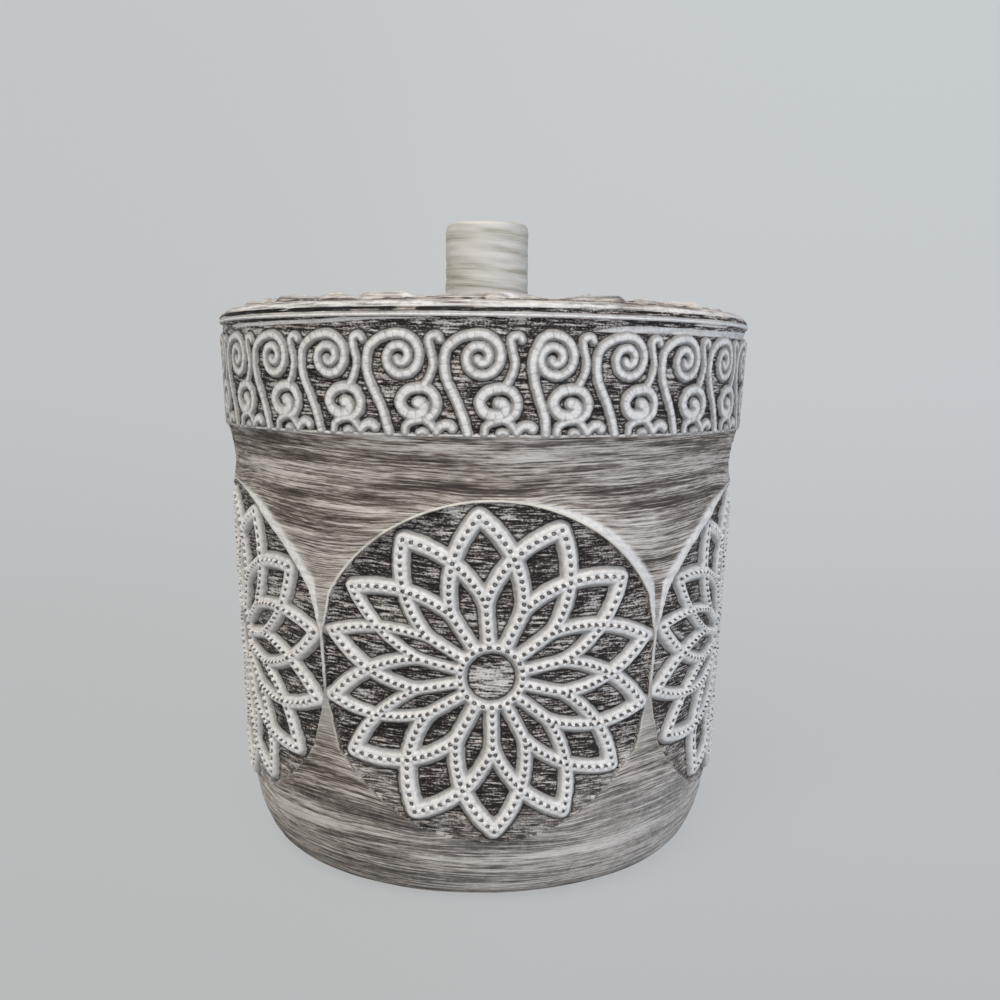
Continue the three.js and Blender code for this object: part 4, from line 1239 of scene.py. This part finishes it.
rows = outlineRows()
for index in range(disc["count"]):
    attach(jarPanel(index, rows, driftwoodResin), "jar", "jar_body")
    attach(wallPearls(index, driftwoodResin), "jar", "jar_body")
print("jar ready")
attach(lidPiece(driftwoodResin), "lid", "lid")
attach(lidPearls(driftwoodResin), "lid", "lid")
attach(knobPiece(knobResin), "lid", "lid_knob")
print("lid and knob ready")

# Floor, light and camera
studio = {
    "floorSize": 1.6,
    "backDistance": 0.55,
    "sweepRadius": 0.3,
    "backHeight": 1.2,
    "floorColour": "#c6c9cb",
    # Painted light falloff over the paper's glow, from its front edge to the top of the backdrop
    "shown": [(0.0, "#b9bbbc"), (0.09, "#bfc1c2"), (0.3, "#c3c5c6"), (0.64, "#caccce"), (1.0, "#cdd0d1")],
    # rightTint and brighterRight: painted light, cooler and brighter to the right
    "rightTint": "#f9fcff",
    "shownFrom": -0.1,
    "shownTo": 0.9,
    "acrossHalf": 0.1,       # metres from the middle at which the change to the side is half done
    "tintFrom": -0.1,
    "tintTo": 0.8,
    "brighterRight": 0.07,
    "shownShare": 0.85,      # how much of the paper that the camera sees is the painted tone
    "worldColour": "#dfe3e6",
    "roomShown": "#c6cacb",
    "worldStrength": 0.42,
    # Place, size in metres, power in watts and colour of each soft lamp
    "lamps": {"window_light": ((-0.22, -0.6, 0.9), 0.7, 6.5, "#fff4e6"),
              "fill_light": ((0.5, -0.55, 0.2), 0.6, 1.65, "#d8e6ff")},
}


# Floor that curves up into a backdrop: a straight run, a quarter circle and a wall, as one sheet.
def stageSweep():
    turn = np.linspace(0, math.pi / 2, 24)
    radius, back = studio["sweepRadius"], studio["backDistance"]
    runY = np.concatenate([[-studio["floorSize"]], back - radius + radius * np.sin(turn), [back]])
    runZ = np.concatenate([[0], radius * (1 - np.cos(turn)), [studio["backHeight"]]])
    x = np.array([-studio["floorSize"], studio["floorSize"]])
    points = np.stack(np.broadcast_arrays(x[None, :], runY[:, None], runZ[:, None]), -1).reshape(-1, 3)
    material, tree, coordinates = newMaterial("paper_sweep_with_painted_light")
    axis = addNode(tree, "SeparateXYZ", inputs={0: coordinates}).outputs
    # The paper's glow is painted brighter from its front edge to the top of the backdrop, and brighter and
    # cooler to the right, by x / (|x| + 0.1 m): painted light falloff
    across = addNode(tree, "Math", {"operation": "ABSOLUTE"}, {0: axis[0]}).outputs[0]
    across = addNode(tree, "Math", {"operation": "ADD"}, {0: across, 1: studio["acrossHalf"]}).outputs[0]
    across = addNode(tree, "Math", {"operation": "DIVIDE"}, {0: axis[0], 1: across}).outputs[0]
    run = addNode(tree, "Math", {"operation": "ADD"}, {0: axis[1], 1: axis[2]}).outputs[0]
    share = addNode(tree, "MapRange", inputs={
        "Value": run, "From Min": studio["shownFrom"], "From Max": studio["shownTo"]}).outputs[0]
    shown = rampStops(addNode(tree, "ValToRGB", inputs={"Fac": share}), studio["shown"])
    aside = addNode(tree, "MapRange", inputs={
        "Value": across, "From Min": studio["tintFrom"], "From Max": studio["tintTo"]})
    shown = addNode(tree, "Mix", {"data_type": "RGBA", "blend_type": "MULTIPLY"}, {
        0: aside.outputs[0], 6: shown, 7: linear(studio["rightTint"])}).outputs[2]
    strength = addNode(tree, "Math", {"operation": "MULTIPLY_ADD"}, {
        0: across, 1: studio["brighterRight"], 2: 1.0})
    path = addNode(tree, "LightPath").outputs["Is Camera Ray"]
    seen = addNode(tree, "Emission", inputs={"Color": shown, "Strength": strength.outputs[0]})
    paper = addNode(tree, "BsdfDiffuse", inputs={"Color": linear(studio["floorColour"])})
    shownShare = addNode(tree, "Math", {"operation": "MULTIPLY"}, {0: path, 1: studio["shownShare"]})
    mixed = addNode(tree, "MixShader", inputs={
        0: shownShare.outputs[0], 1: paper.outputs[0], 2: seen.outputs[0]})
    addNode(tree, "OutputMaterial", inputs={"Surface": mixed.outputs[0]})
    faces = gridFaces(len(runY), 2, False).tolist()
    meshPiece("floor_sweep", points, faces, {}, material, unit=1)


stageSweep()
world = bpy.data.worlds.new("soft_room")
bpy.context.scene.world = world
world.use_nodes = True
roomTree = world.node_tree
roomTree.nodes.clear()
roomRays = addNode(roomTree, "LightPath").outputs
roomSeen = addNode(roomTree, "Math", {"operation": "MAXIMUM"}, {
    0: roomRays["Is Camera Ray"], 1: roomRays["Is Glossy Ray"]}).outputs[0]
roomLight = addNode(roomTree, "Background", inputs={
    "Color": linear(studio["worldColour"]), "Strength": studio["worldStrength"]}).outputs[0]
roomShown = addNode(roomTree, "Background", inputs={
    "Color": linear(studio["roomShown"]), "Strength": 1.0}).outputs[0]
roomMix = addNode(roomTree, "MixShader", inputs={0: roomSeen, 1: roomLight, 2: roomShown}).outputs[0]
addNode(roomTree, "OutputWorld", inputs={"Surface": roomMix})

for name, (spot, size, power, tint) in studio["lamps"].items():
    lamp = bpy.data.lights.new(name, "AREA")
    lamp.shape = "SQUARE"
    lamp.size = size
    lamp.energy = power
    lamp.color = linear(tint)[:3]
    lampObject = bpy.data.objects.new(name, lamp)
    lampObject.location = spot
    lampObject.rotation_euler = (-lampObject.location).to_track_quat("-Z", "Y").to_euler()
    bpy.context.scene.collection.objects.link(lampObject)

viewpoint = {
    "place": (-8.09, -226.53, 92.49),
    "yaw": -2.947,
    "pitch": -6.61,
    "roll": 0.68,
    "lens": 39.57,
    "sensor": 36.0,
}
camera = bpy.data.cameras.new("camera")
camera.lens = viewpoint["lens"]
camera.sensor_width = viewpoint["sensor"]
camera.clip_start = 0.01
cameraObject = bpy.data.objects.new("camera", camera)
cameraObject.matrix_world = (
    Matrix.Translation([v * millimetre for v in viewpoint["place"]])
    @ Matrix.Rotation(math.radians(viewpoint["yaw"]), 4, "Z")
    @ Matrix.Rotation(math.radians(90 + viewpoint["pitch"]), 4, "X")
    @ Matrix.Rotation(math.radians(viewpoint["roll"]), 4, "Z"))
bpy.context.scene.collection.objects.link(cameraObject)
bpy.context.scene.camera = cameraObject
bpy.context.scene.view_settings.view_transform = "Standard"
print("light and camera ready")
